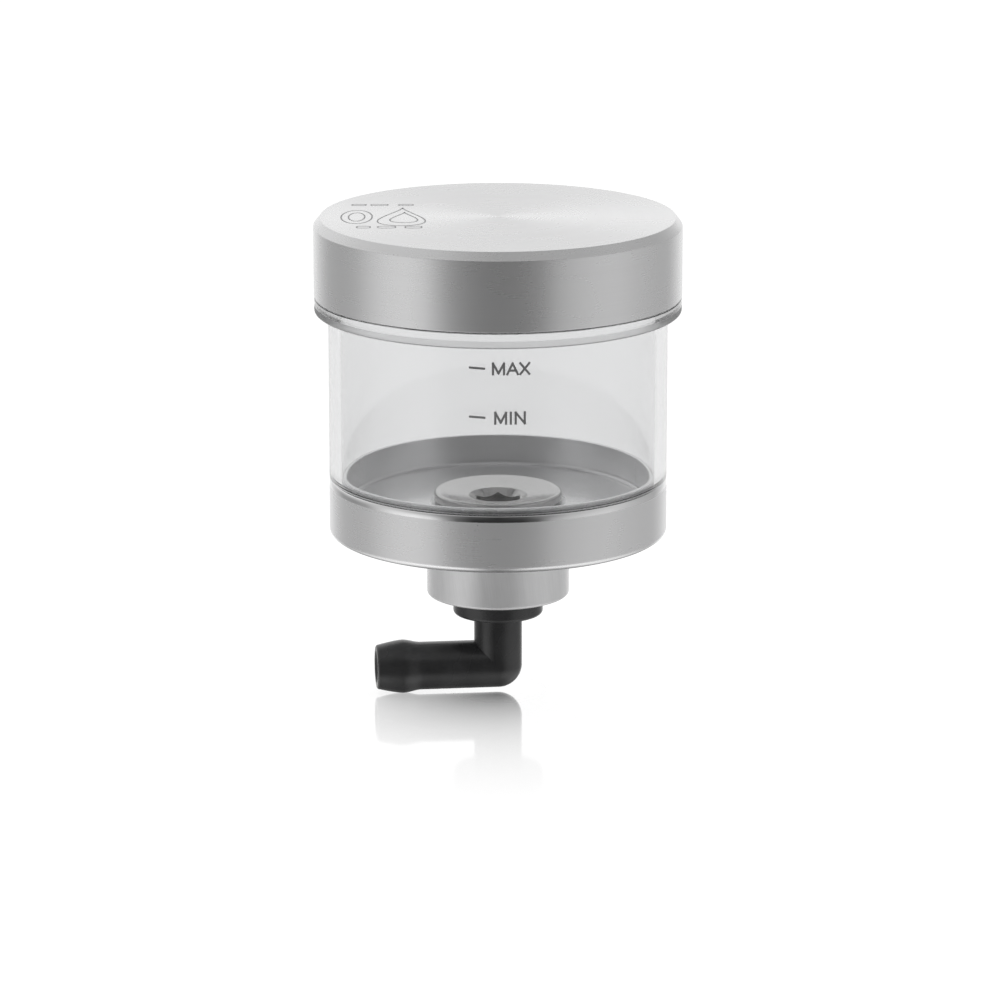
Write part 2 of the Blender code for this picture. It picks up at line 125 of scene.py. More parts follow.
def rounded(corners: Sequence[Corner], steps: int = 6, guard: float = 0.03) -> Array:
    """Rounds the corners of a closed outline with arcs that touch both edges.

    An arc starts radius / tan(half the corner's angle) from its corner. Its points are the even
    turn from one edge's normal to the other's: (sin((1-t)a) first + sin(t a) last) / sin(a).
    A guard point just outside each end keeps the flat edge's shading flat.

    Args:
        corners: Radius, height and fillet of each corner, in order round the outline.
        steps: Edges in each arc.
        guard: Distance from an arc's end to its guard point.

    Returns:
        The outline's points, one row of (radius, height) each.
    """
    table = np.array(corners, dtype=float)
    here, size = table[:, :2], table[:, 2:]
    back = unit(np.roll(here, 1, axis=0) - here)
    onward = unit(np.roll(here, -1, axis=0) - here)
    half = np.arccos(np.clip((back * onward).sum(axis=1, keepdims=True), -1.0, 1.0)) / 2
    turn = np.maximum(math.pi - 2 * half, 1e-6)
    reach = size / np.tan(half)
    centre = here + unit(back + onward) * size / np.sin(half)
    first = here + back * reach - centre
    last = here + onward * reach - centre
    part = np.linspace(0.0, 1.0, steps + 1)[:, None, None]
    arcs = centre + (np.sin((1 - part) * turn) * first + np.sin(part * turn) * last) / np.sin(turn)
    shift = guard * (size > 0)
    before = (here + back * (reach + shift))[None]
    after = (here + onward * (reach + shift))[None]
    points = np.concatenate((before, arcs, after)).transpose(1, 0, 2).reshape(-1, 2)
    apart = np.linalg.norm(points - np.roll(points, 1, axis=0), axis=1)
    return points[apart > 1e-5]


def refined(outline: Array, radius: float, spacing: float) -> Array:
    """Splits the outline's edges that lie on one round wall into short equal parts.

    Args:
        outline: Points of (radius, height).
        radius: Radius of the wall to split.
        spacing: Longest part to leave.

    Returns:
        The outline with the added points.
    """
    follow = np.roll(outline, -1, axis=0)
    on_wall = np.isclose(outline[:, 0], radius) & np.isclose(follow[:, 0], radius)
    length = np.linalg.norm(follow - outline, axis=1)
    count = np.where(on_wall, np.maximum(np.ceil(length / spacing), 1), 1).astype(int)
    order = np.arange(count.sum()) - np.repeat(np.cumsum(count) - count, count)
    step = np.repeat((follow - outline) / count[:, None], count, axis=0)
    return np.repeat(outline, count, axis=0) + step * order[:, None]


def spun(outline: Array, steps: int, relief: Relief | None = None) -> Array:
    """Turns an outline once round Z: (r, z) at angle t goes to (r cos t, r sin t, z).

    Args:
        outline: Points of (radius, height).
        steps: Points round the axis.
        relief: Height field that is added to the radius, from the radius, height and angle.

    Returns:
        A grid of points, with a row for each point of the outline.
    """
    angle = np.arange(steps) / steps * math.tau
    radius, height, angle = np.broadcast_arrays(outline[:, :1], outline[:, 1:], angle[None])
    if relief is not None:
        radius = radius + relief(radius, height, angle)
    return np.stack((radius * np.cos(angle), radius * np.sin(angle), height), axis=-1)


def grid_quads(rows: int, columns: int, wrap_rows: bool, wrap_columns: bool) -> Array:
    """Corner numbers of the quads between neighbouring points of a grid.

    Args:
        rows: Rows of points.
        columns: Points in a row.
        wrap_rows: Whether the last row joins the first.
        wrap_columns: Whether each row is a ring.

    Returns:
        Four point numbers for each quad.
    """
    index = np.arange(rows * columns).reshape(rows, columns)
    if wrap_rows:
        index = np.vstack((index, index[:1]))
    if wrap_columns:
        index = np.hstack((index, index[:, :1]))
    corners = (index[:-1, :-1], index[:-1, 1:], index[1:, 1:], index[1:, :-1])
    return np.stack(corners, axis=-1).reshape(-1, 4)


def add_piece(
    name: str, shells: Sequence[tuple[Array, Array]], finish: bpy.types.Material, sharp: float = SHARP_EDGE
) -> bpy.types.Object:
    """Makes one object of closed shells, with its seams welded and its faces pointing outwards.

    Args:
        name: The piece's name.
        shells: Points in millimetres, and quads, of each shell.
        finish: The material.
        sharp: Angle between faces, from which the edge between them is sharp.

    Returns:
        The new object, at the origin.
    """
    counts = [len(points.reshape(-1, 3)) for points, _ in shells]
    starts = np.cumsum([0, *counts[:-1]])
    points = np.concatenate([points.reshape(-1, 3) for points, _ in shells]) * MM
    quads = np.concatenate([quads + start for (_, quads), start in zip(shells, starts)])
    mesh = bpy.data.meshes.new(name)
    mesh.vertices.add(len(points))
    mesh.vertices.foreach_set("co", points.astype(np.float32).ravel())
    mesh.loops.add(quads.size)
    mesh.loops.foreach_set("vertex_index", quads.astype(np.int32).ravel())
    mesh.polygons.add(len(quads))
    mesh.polygons.foreach_set("loop_start", np.arange(0, quads.size, 4, dtype=np.int32))
    mesh.update(calc_edges=True)
    weld_mesh(mesh, sharp)
    mesh.materials.append(finish)
    piece = bpy.data.objects.new(name, mesh)
    bpy.context.scene.collection.objects.link(piece)
    return piece


def weld_mesh(mesh: bpy.types.Mesh, sharp: float) -> None:
    """Merges coinciding points, drops what that leaves without an area, and shades the rest smooth."""
    maker = bmesh.new()
    maker.from_mesh(mesh)
    bmesh.ops.remove_doubles(maker, verts=maker.verts, dist=WELD)
    bmesh.ops.dissolve_degenerate(maker, edges=maker.edges, dist=WELD)
    loose = [edge for edge in maker.edges if not edge.link_faces]
    bmesh.ops.delete(maker, geom=loose, context="EDGES")
    bmesh.ops.recalc_face_normals(maker, faces=maker.faces)
    maker.to_mesh(mesh)
    maker.free()
    mesh.shade_smooth()
    mesh.set_sharp_from_angle(angle=sharp)


def turned_shell(outline: Array, steps: int, relief: Relief | None = None) -> tuple[Array, Array]:
    """A shell of revolution. Its outline is closed, or starts and stops on the axis."""
    points = spun(outline, steps, relief)
    on_axis = bool(outline[0, 0] < 1e-6 and outline[-1, 0] < 1e-6)
    return points, grid_quads(len(outline), steps, not on_axis, True)


def from_axis(outline: Array) -> Array:
    """Rolls an outline round, so that it starts and stops with its points on the axis."""
    on_axis = np.flatnonzero(outline[:, 0] < 1e-6)
    gap = np.flatnonzero(np.diff(np.append(on_axis, on_axis[0] + len(outline))) == 1)
    return np.roll(outline, -on_axis[(gap[0] + 1) % len(on_axis)], axis=0)


def ring_shell(radius: float, height: float, wire: float) -> tuple[Array, Array]:
    """An O-ring: a circle of the wire's size, turned round the axis."""
    angle = np.arange(WIRE_STEPS) / WIRE_STEPS * math.tau
    outline = np.stack((radius + wire / 2 * np.cos(angle), height + wire / 2 * np.sin(angle)), axis=1)
    return turned_shell(outline, SEAL_STEPS)


def ribbon_shell(path: Array, width: float, low: float, high: float) -> tuple[Array, Array]:
    """A thin inlaid line along a closed flat path.

    The path is moved half the width to each side along its normal, the tangent turned a right
    angle, and those two edges at the two heights are the ribbon's four corner lines.

    Args:
        path: Points of (x, y) round the loop.
        width: The line's width.
        low: Height of its hidden underside.
        high: Height of its face.

    Returns:
        Points and quads.
    """
    tangent = unit(np.roll(path, -1, axis=0) - np.roll(path, 1, axis=0))
    normal = np.stack((-tangent[:, 1], tangent[:, 0]), axis=1) * width / 2
    sides = np.array((1.0, 1.0, -1.0, -1.0))[:, None, None]
    flat = path[None] + sides * normal[None]
    heights = np.broadcast_to(np.array((low, high, high, low))[:, None, None], (4, len(path), 1))
    return np.concatenate((flat, heights), axis=-1), grid_quads(4, len(path), True, True)


@dataclass(frozen=True)
class Span:
    """Where a node of the frame is: its greatest radius and its two heights."""

    radius: float
    low: float
    high: float

    @classmethod
    def of(cls, node: str) -> Span:
        """Reads a node's box, in millimetres."""
        low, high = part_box(node)
        return cls(max(abs(low.y), abs(high.y)) / MM, low.z / MM, high.z / MM)


@dataclass(frozen=True)
class Thread:
    """A right-hand ridge of trapezoid section on a round wall."""

    wall: float
    start: float
    phase: float
    outward: bool
    pitch: float = 2.0
    depth: float = 0.6
    crest: float = 0.45
    flank: float = math.radians(30)
    turns: float = 1.75
    run_out: float = 35 / 360

    def relief(self, radius: Array, height: Array, angle: Array) -> Array:
        """How far the wall is raised.

        The ridge's middle is at start + pitch * turns wound. Its face falls off as the distance
        from that middle, less half the crest, over the flank's slope, and it fades out at both ends.

        Args:
            radius: Radius of each point before the relief.
            height: Height of each point.
            angle: Angle of each point.

        Returns:
            The amount to add to the radius.
        """
        first = np.mod((angle - self.phase) / math.tau, 1.0)
        raised = np.zeros(np.broadcast(radius, height, angle).shape)
        for whole in range(math.ceil(self.turns)):
            wound = first + whole
            fade = np.clip(np.minimum(wound, self.turns - wound) / self.run_out, 0.0, 1.0)
            away = np.abs(height - self.start - self.pitch * wound)
            face = self.depth - np.maximum(away - self.crest / 2, 0.0) / math.tan(self.flank)
            raised = np.maximum(raised, np.clip(face, 0.0, self.depth * fade))
        on_wall = np.isclose(radius, self.wall)
        return raised * on_wall * (1.0 if self.outward else -1.0)


# ---------------------------------------------------------------- finish


class NodeSheet:
    """Adds nodes to one tree and wires them up."""

    def __init__(self, tree: bpy.types.NodeTree) -> None:
        """Keeps the tree that the nodes go into."""
        self.tree = tree

    def add(self, kind: str, inputs: dict[str | int, object] | None = None, **settings: object) -> bpy.types.Node:
        """Adds a node.

        Args:
            kind: The node's type, without its ShaderNode prefix.
            inputs: A value, or another node's output socket, for each named or numbered input.
            **settings: The node's own settings.

        Returns:
            The new node.
        """
        node = self.tree.nodes.new("ShaderNode" + kind)
        for name, value in settings.items():
            setattr(node, name, value)
        for name, value in (inputs or {}).items():
            if isinstance(value, bpy.types.NodeSocket):
                self.tree.links.new(value, node.inputs[name])
            else:
                node.inputs[name].default_value = value
        return node

    def maths(self, operation: str, *values: object) -> bpy.types.NodeSocket:
        """Adds a Math node on up to three values, and returns its result."""
        return self.add("Math", dict(enumerate(values)), operation=operation).outputs[0]

    def mapped(self, value: object, low: float, high: float, to_low: object, to_high: object) -> bpy.types.NodeSocket:
        """Maps a value from one range to another, and returns the result."""
        return self.add("MapRange", {0: value, 1: low, 2: high, 3: to_low, 4: to_high}).outputs[0]


class SurfaceGroups:
    """The shader groups that more than one finish uses."""

    def __init__(self) -> None:
        """Builds each group once."""
        self.lines = self.build_lines()
        self.grain = self.build_grain()
        self.handling = self.build_handling()
        self.zone = self.build_zone()

    @staticmethod
    def blank(name: str, inputs: dict[str, float], outputs: Sequence[str]) -> tuple[bpy.types.NodeTree, NodeSheet]:
        """An empty group with the named inputs and outputs, all plain values."""
        tree = bpy.data.node_groups.new(name, "ShaderNodeTree")
        for label, value in inputs.items():
            socket = tree.interface.new_socket(label, in_out="INPUT", socket_type="NodeSocketFloat")
            socket.default_value = value
        for label in outputs:
            tree.interface.new_socket(label, in_out="OUTPUT", socket_type="NodeSocketFloat")
        return tree, NodeSheet(tree)

    def build_lines(self) -> bpy.types.NodeTree:
        """Fine tool lines on metal.

        Noise is read at (r, z) for lines round the axis, and at (arc length, a little z) for
        lines along it, so that it only changes across the lines. The two are mixed by Along.
        """
        inputs = {"Lines": 4.0, "Along": 0.0, "Lean": 0.0, "Length": 0.05}
        tree, sheet = self.blank("tool_lines", inputs, ("Shade", "Height"))
        given = tree.nodes.new("NodeGroupInput")
        result = tree.nodes.new("NodeGroupOutput")
        place = sheet.add("TexCoord").outputs["Object"]
        scaled = sheet.add("VectorMath", {0: place, "Scale": 1 / MM}, operation="SCALE").outputs[0]
        split = sheet.add("SeparateXYZ", {0: scaled}).outputs
        flat = sheet.add("CombineXYZ", {0: split["X"], 1: split["Y"]}).outputs[0]
        radius = sheet.add("VectorMath", {0: flat}, operation="LENGTH").outputs["Value"]
        angle = sheet.maths("ARCTAN2", split["Y"], split["X"])
        lean = sheet.maths("MULTIPLY_ADD", split["Z"], given.outputs["Lean"], sheet.maths("MULTIPLY", angle, radius))
        lines = given.outputs["Lines"]
        round_it = sheet.add(
            "CombineXYZ",
            {
                0: sheet.maths("MULTIPLY", radius, lines),
                1: sheet.maths("MULTIPLY", split["Z"], lines),
                2: sheet.maths("MULTIPLY", angle, 0.02),
            },
        ).outputs[0]
        along_it = sheet.add(
            "CombineXYZ",
            {
                0: sheet.maths("MULTIPLY", lean, lines),
                1: sheet.maths("MULTIPLY", split["Z"], sheet.maths("MULTIPLY", lines, given.outputs["Length"])),
                2: sheet.maths("MULTIPLY", radius, 0.5),
            },
        ).outputs[0]
        path = sheet.add(
            "Mix", {0: given.outputs["Along"], 4: round_it, 5: along_it}, data_type="VECTOR"
        ).outputs[1]
        fine = sheet.add("TexNoise", {"Vector": path, "Scale": 1.0, "Detail": 2.0, "Roughness": 0.6}).outputs[0]
        coarse = sheet.add("TexNoise", {"Vector": path, "Scale": 0.22, "Detail": 1.0}).outputs[0]
        shade = sheet.maths("MULTIPLY_ADD", coarse, 0.45, sheet.maths("MULTIPLY", fine, 0.55))
        tree.links.new(sheet.mapped(shade, 0.3, 0.7, 0.0, 1.0), result.inputs["Shade"])
        tree.links.new(fine, result.inputs["Height"])
        return tree

    def build_grain(self) -> bpy.types.NodeTree:
        """The fine uneven skin of a moulded part, and slow changes of tone over it."""
        tree, sheet = self.blank("moulded_grain", {"Size": 0.25}, ("Shade", "Height"))
        given = tree.nodes.new("NodeGroupInput")
        result = tree.nodes.new("NodeGroupOutput")
        place = sheet.add("TexCoord").outputs["Object"]
        scale = sheet.maths("DIVIDE", 1 / MM, given.outputs["Size"])
        fine = sheet.add("TexNoise", {"Vector": place, "Scale": scale, "Detail": 2.0, "Roughness": 0.6}).outputs[0]
        slow = sheet.add("TexNoise", {"Vector": place, "Scale": 0.35 / MM, "Detail": 2.0}).outputs[0]
        tree.links.new(sheet.mapped(slow, 0.35, 0.65, 0.0, 1.0), result.inputs["Shade"])
        tree.links.new(fine, result.inputs["Height"])
        return tree

    def build_handling(self) -> bpy.types.NodeTree:
        """Faint patches where a part was wiped or touched, to vary its roughness."""
        tree, sheet = self.blank("handling", {"Patches": 0.12}, ("Mask",))
        given = tree.nodes.new("NodeGroupInput")
        result = tree.nodes.new("NodeGroupOutput")
        place = sheet.add("TexCoord").outputs["Object"]
        scale = sheet.maths("DIVIDE", given.outputs["Patches"], MM)
        patches = sheet.add("TexNoise", {"Vector": place, "Scale": scale, "Detail": 4.0, "Distortion": 0.6}).outputs[0]
        tree.links.new(sheet.mapped(patches, 0.4, 0.68, 0.0, 1.0), result.inputs["Mask"])
        return tree

    def build_zone(self) -> bpy.types.NodeTree:
        """One ring-shaped zone of a turned part: between two radii and two heights, with soft borders."""
        inputs = {"Inner": 0.0, "Outer": 1.0, "Low": 0.0, "High": 1.0, "Border": 0.08, "Share": 1.0}
        tree, sheet = self.blank("worked_zone", inputs, ("Mask",))
        given = tree.nodes.new("NodeGroupInput").outputs
        result = tree.nodes.new("NodeGroupOutput")
        place = sheet.add("TexCoord").outputs["Object"]
        scaled = sheet.add("VectorMath", {0: place, "Scale": 1 / MM}, operation="SCALE").outputs[0]
        split = sheet.add("SeparateXYZ", {0: scaled}).outputs
        flat = sheet.add("CombineXYZ", {0: split["X"], 1: split["Y"]}).outputs[0]
        radius = sheet.add("VectorMath", {0: flat}, operation="LENGTH").outputs["Value"]
        inside = [
            sheet.maths("SUBTRACT", radius, given["Inner"]),
            sheet.maths("SUBTRACT", given["Outer"], radius),
            sheet.maths("SUBTRACT", split["Z"], given["Low"]),
            sheet.maths("SUBTRACT", given["High"], split["Z"]),
        ]
        nearest = inside[0]
        for depth in inside[1:]:
            nearest = sheet.maths("MINIMUM", nearest, depth)
        tree.links.new(sheet.mapped(nearest, 0.0, given["Border"], 0.0, given["Share"]), result.inputs["Mask"])
        return tree


Colour = tuple[float, float, float]


@dataclass(frozen=True)
class Zone:
    """A ring of a turned part that is finished in another way, between two radii and two heights."""

    inner: float
    outer: float
    low: float
    high: float
    share: float = 1.0  # how far its finish goes the other way

    def mask(self, sheet: NodeSheet, groups: SurfaceGroups) -> bpy.types.NodeSocket:
        """Adds the zone's mask to a material, from 0 outside it to its share inside."""
        node = sheet.add("Group", node_tree=groups.zone)
        sizes = {"Inner": self.inner, "Outer": self.outer, "Low": self.low, "High": self.high, "Share": self.share}
        for label, value in sizes.items():
            node.inputs[label].default_value = value
        return node.outputs["Mask"]


def joined_mask(zones: Sequence[Zone], sheet: NodeSheet, groups: SurfaceGroups) -> bpy.types.NodeSocket:
    """Puts several zones together: the greatest of their masks."""
    joined, *others = [zone.mask(sheet, groups) for zone in zones]
    for mask in others:
        joined = sheet.maths("MAXIMUM", joined, mask)
    return joined


@dataclass(frozen=True)
class MetalFinish:
    """A worked metal surface."""

    name: str
    colour: Colour
    roughness: float
    anisotropy: float
    across: float  # quarter turns from the ring direction to the way that highlights spread
    grain: Grain
    lines: float = 4.0
    shade: float = 0.06
    bump: float = 0.05
    lean: float = 0.0
    metallic: float = 1.0  # the rest is the milky scatter of the worked and anodised skin
    polish: float = 0.1  # roughness of the polished zones
    zones: tuple[Zone, ...] = ()

    def dress(self, groups: SurfaceGroups) -> bpy.types.Material:
        """Builds the material: tool lines, handling marks, and its polished zones."""
        material = bpy.data.materials.new(self.name)
        material.use_nodes = True
        sheet = NodeSheet(material.node_tree)
        shader = material.node_tree.nodes["Principled BSDF"]
        along = 1.0 if self.grain is Grain.DRAWN else 0.0
        lines = sheet.add("Group", node_tree=groups.lines)
        for label, value in (("Lines", self.lines), ("Along", along), ("Lean", self.lean)):
            lines.inputs[label].default_value = value
        handling = sheet.add("Group", node_tree=groups.handling)
        darker = tuple(channel * (1 - self.shade) for channel in self.colour)
        brighter = tuple(min(channel * (1 + self.shade), 1.0) for channel in self.colour)
        colour = sheet.add(
            "Mix",
            {0: lines.outputs["Shade"], 6: (*darker, 1.0), 7: (*brighter, 1.0)},
            data_type="RGBA",
        ).outputs[2]
        rough = sheet.mapped(lines.outputs["Shade"], 0.0, 1.0, self.roughness * 1.02, self.roughness * 0.98)
        rough = sheet.maths("MULTIPLY_ADD", handling.outputs["Mask"], self.roughness * 0.06, rough)
        if self.zones:
            polished = joined_mask(self.zones, sheet, groups)
            rough = sheet.mapped(polished, 0.0, 1.0, rough, self.polish)
            metallic = sheet.mapped(polished, 0.0, 1.0, self.metallic, 1.0)
            sheet.tree.links.new(metallic, shader.inputs["Metallic"])
        bump = sheet.add("Bump", {"Strength": self.bump, "Distance": 0.05 * MM, "Height": lines.outputs["Height"]})
        wire = material.node_tree.links.new
        wire(colour, shader.inputs["Base Color"])
        wire(rough, shader.inputs["Roughness"])
        wire(bump.outputs[0], shader.inputs["Normal"])
        shader.inputs["Metallic"].default_value = self.metallic
        shader.inputs["Anisotropic"].default_value = self.anisotropy
        shader.inputs["Anisotropic Rotation"].default_value = self.across / 4
        return material


@dataclass(frozen=True)
class MouldedFinish:
    """A moulded plastic or rubber surface."""

    name: str
    colour: Colour
    roughness: float
    shade: float = 0.15
    grain_size: float = 0.25
    bump: float = 0.1

    def dress(self, groups: SurfaceGroups) -> bpy.types.Material:
        """Builds the material: slow tone changes, fine grain in height, and handling in roughness."""
        material = bpy.data.materials.new(self.name)
        material.use_nodes = True
        sheet = NodeSheet(material.node_tree)
        shader = material.node_tree.nodes["Principled BSDF"]
        grain = sheet.add("Group", {"Size": self.grain_size}, node_tree=groups.grain)
        handling = sheet.add("Group", node_tree=groups.handling)
        darker = tuple(channel * (1 - self.shade) for channel in self.colour)
        brighter = tuple(channel * (1 + self.shade) for channel in self.colour)
        colour = sheet.add(
            "Mix",
            {0: grain.outputs["Shade"], 6: (*darker, 1.0), 7: (*brighter, 1.0)},
            data_type="RGBA",
        ).outputs[2]
        rough = sheet.mapped(handling.outputs["Mask"], 0.0, 1.0, self.roughness * 0.92, self.roughness * 1.12)
        bump = sheet.add("Bump", {"Strength": self.bump, "Distance": 0.04 * MM, "Height": grain.outputs["Height"]})
        wire = material.node_tree.links.new
        wire(colour, shader.inputs["Base Color"])
        wire(rough, shader.inputs["Roughness"])
        wire(bump.outputs[0], shader.inputs["Normal"])
        return material


@dataclass(frozen=True)
class ClearFinish:
    """Clear cast plastic, satin in some bands, which are also tinted darker as painted shade."""

    name: str
    colour: Colour
    roughness: float
    refraction: float
    shaded_satin: tuple[Zone, ...] = ()
    ground_roughness: float = 0.4
    painted_shade_tone: float = 0.62  # how much of the colour is left in the satin band, a darker tint that is painted shade

    def dress(self, groups: SurfaceGroups) -> bpy.types.Material:
        """Builds the material, satin and tinted darker in its satin bands, where the darker tint is painted shade.
        Lamps shine through it, so that its inside is lit.
        """
        material = bpy.data.materials.new(self.name)
        material.use_nodes = True
        sheet = NodeSheet(material.node_tree)
        nodes = material.node_tree.nodes
        shader = nodes["Principled BSDF"]
        shader.inputs["Base Color"].default_value = (*self.colour, 1.0)
        shader.inputs["Transmission Weight"].default_value = 1.0
        shader.inputs["IOR"].default_value = self.refraction
        handling = sheet.add("Group", node_tree=groups.handling)
        rough = sheet.mapped(handling.outputs["Mask"], 0.0, 1.0, self.roughness, self.roughness * 2)
        if self.shaded_satin:
            satin_and_shade_mask = joined_mask(self.shaded_satin, sheet, groups)
            rough = sheet.mapped(satin_and_shade_mask, 0.0, 1.0, rough, self.ground_roughness)
            # painted shade: the satin band's colour is darkened to stand for the shade seen in the flange's lower band
            painted_shade_colour = tuple(channel * self.painted_shade_tone for channel in self.colour)
            colour = sheet.add(
                "Mix", {0: satin_and_shade_mask, 6: (*self.colour, 1.0), 7: (*painted_shade_colour, 1.0)}, data_type="RGBA"
            ).outputs[2]
            material.node_tree.links.new(colour, shader.inputs["Base Color"])
        material.node_tree.links.new(rough, shader.inputs["Roughness"])
        through = sheet.add("BsdfTransparent", {"Color": (*self.colour, 1.0)})
        lamp = sheet.add("LightPath").outputs["Is Shadow Ray"]
        mixed = sheet.add("MixShader", {0: lamp, 1: shader.outputs[0], 2: through.outputs[0]})
        material.node_tree.links.new(mixed.outputs[0], nodes["Material Output"].inputs["Surface"])
        return material


@dataclass
class Palette:
    """Every material of the reservoir."""

    groups: SurfaceGroups = field(default_factory=SurfaceGroups)

    def __post_init__(self) -> None:
        """Dresses each finish once."""
        top_edge = Zone(21.9, 24.0, 7.0, 8.1)
        bottom_edge = Zone(21.9, 24.0, -0.1, 0.8, share=0.6)
        dish = Zone(9.2, 21.2, 4.2, 8.7, share=0.5)
        # the flange's lower band: made satin, and tinted darker as painted shade
        flange_foot = Zone(23.3, 25.2, 30.8, 32.1)
        turned = MetalFinish(
            "turned_aluminium", (0.83, 0.83, 0.834), 0.27, 0.75, 1.0, Grain.TURNED, shade=0.018, bump=0.02, metallic=0.6
        )
        dished = MetalFinish(
            "satin_aluminium", (0.88, 0.88, 0.884), 0.27, 0.75, 1.0, Grain.TURNED,
            shade=0.004, bump=0.004, metallic=0.42, zones=(top_edge, bottom_edge, dish),
        )
        drawn = MetalFinish(
            "brushed_aluminium", (0.9, 0.9, 0.904), 0.24, 0.3, 0.0, Grain.DRAWN,
            lines=5.0, shade=0.05, lean=0.12, metallic=0.25,
        )
        steel = MetalFinish("turned_steel", (0.67, 0.667, 0.66), 0.2, 0.5, 1.0, Grain.TURNED, lines=6.0, shade=0.03)
        nylon = MouldedFinish("black_nylon", (0.045, 0.045, 0.046), 0.28, bump=0.1)
        rubber = MouldedFinish("black_rubber", (0.022, 0.022, 0.022), 0.62, grain_size=0.18, bump=0.2)
        silicone = MouldedFinish("grey_silicone", (0.72, 0.72, 0.72), 0.55, shade=0.03, grain_size=0.2, bump=0.1)
        white = MouldedFinish("white_nylon", (0.78, 0.78, 0.75), 0.45, shade=0.04, grain_size=0.3)
        clear = ClearFinish("clear_acrylic", (0.825, 0.827, 0.83), 0.015, 1.49, shaded_satin=(flange_foot,))
        ink = MouldedFinish("printed_ink", (0.28, 0.28, 0.282), 0.55, shade=0.1, grain_size=0.12, bump=0.05)
        etched = MouldedFinish("etched_line", (0.42, 0.42, 0.425), 0.6, shade=0.06, grain_size=0.1, bump=0.05)
        self.turned = turned.dress(self.groups)
        self.dished = dished.dress(self.groups)
        self.drawn = drawn.dress(self.groups)
        self.steel = steel.dress(self.groups)
        self.nylon = nylon.dress(self.groups)
        self.rubber = rubber.dress(self.groups)
        self.silicone = silicone.dress(self.groups)
        self.white = white.dress(self.groups)
        self.clear = clear.dress(self.groups)
        self.ink = ink.dress(self.groups)
        self.etched = etched.dress(self.groups)


# ---------------------------------------------------------------- pieces


@dataclass
class Cap:
    """The screw cap: a thick turned disc with a chamfered edge and a threaded skirt."""

    palette: Palette
    span: Span = field(default_factory=lambda: Span.of("cap"))
    inlay: float = 0.012  # how far the face lies below the etched lines
    chamfer: float = 0.9
    chamfer_height: float = 1.15
    bore: float = 23.75
    ceiling: float = 42.2
    edge: float = 0.1
    skirt_drop: float = 0.08  # how much closer the skirt comes to the cup's flange

    def build(self) -> None:
        """Makes the cap and its etched pictogram."""
        self.build_body()
        self.build_pictogram()

    def build_body(self) -> None:
        """Turns the cap's outline, with the thread's ridge raised inside its skirt."""
        rim, face = self.span.radius, self.span.high - self.inlay
        skirt = self.span.low - self.skirt_drop
        corners = [
            (0.0, face, 0.0),
            (rim - self.chamfer, face, 0.1),
            (rim, self.span.high - self.chamfer_height, 0.12),
            (rim, skirt, self.edge),
            (self.bore, skirt, 0.25),
            (self.bore, self.ceiling, 0.3),
            (0.0, self.ceiling, 0.0),
        ]
        outline = refined(rounded(corners), self.bore, 0.06)
        thread = Thread(self.bore, 34.2, -0.9 * math.tau, outward=False)
        shell = turned_shell(from_axis(outline), BODY_STEPS, thread.relief)
        piece = add_piece("turned_cap", [shell], self.palette.turned)
        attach(piece, "cap")
        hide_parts("cap")

    def build_pictogram(self) -> None:
        """Etches a letterless fluid sign near the rim: an oval, a drop, and plain bars over and under them."""
        low, high = self.span.high - 0.08, self.span.high
        loops = [
            self.oval((-19.1, -0.6), (2.1, 4.6)),
            self.oval((-19.1, -0.6), (1.1, 2.9)),
            self.drop((-13.0, -0.4), 6.2),
            self.drop((-12.7, -0.9), 3.6),
        ]
        loops += [self.bar((x, 7.9), (length, 0.9)) for x, length in ((-19.0, 1.9), (-16.2, 2.3), (-12.6, 2.0))]
        loops += [self.bar((x, -7.6), (length, 1.3)) for x, length in ((-18.0, 1.8), (-14.9, 2.4), (-11.3, 2.2))]
        shells = [ribbon_shell(loop, 0.2, low, high) for loop in loops]
        piece = add_piece("cap_pictogram", shells, self.palette.etched)
        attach(piece, "cap")

    @staticmethod
    def oval(middle: tuple[float, float], half: tuple[float, float]) -> Array:
        """An ellipse: the middle plus the half sizes times (cos t, sin t)."""
        angle = np.arange(72) / 72 * math.tau
        return np.array(middle) + np.array(half) * np.stack((np.cos(angle), np.sin(angle)), axis=1)

    @staticmethod
    def drop(middle: tuple[float, float], size: float) -> Array:
        """A drop with its point towards +Y: (cos t * (1 - sin t) / 2, sin t), widened and scaled."""
        angle = np.arange(96) / 96 * math.tau
        width = np.cos(angle) * (1 - np.sin(angle)) / 2 * 0.8
        return np.array(middle) + size * np.stack((width, np.sin(angle)), axis=1)

    @staticmethod
    def bar(middle: tuple[float, float], size: tuple[float, float]) -> Array:
        """A flat bar with round ends: a superellipse of power 4 round its middle."""
        angle = np.arange(48) / 48 * math.tau
        wave = np.stack((np.cos(angle), np.sin(angle)), axis=1)
        return np.array(middle) + np.array(size) / 2 * np.sign(wave) * np.sqrt(np.abs(wave))


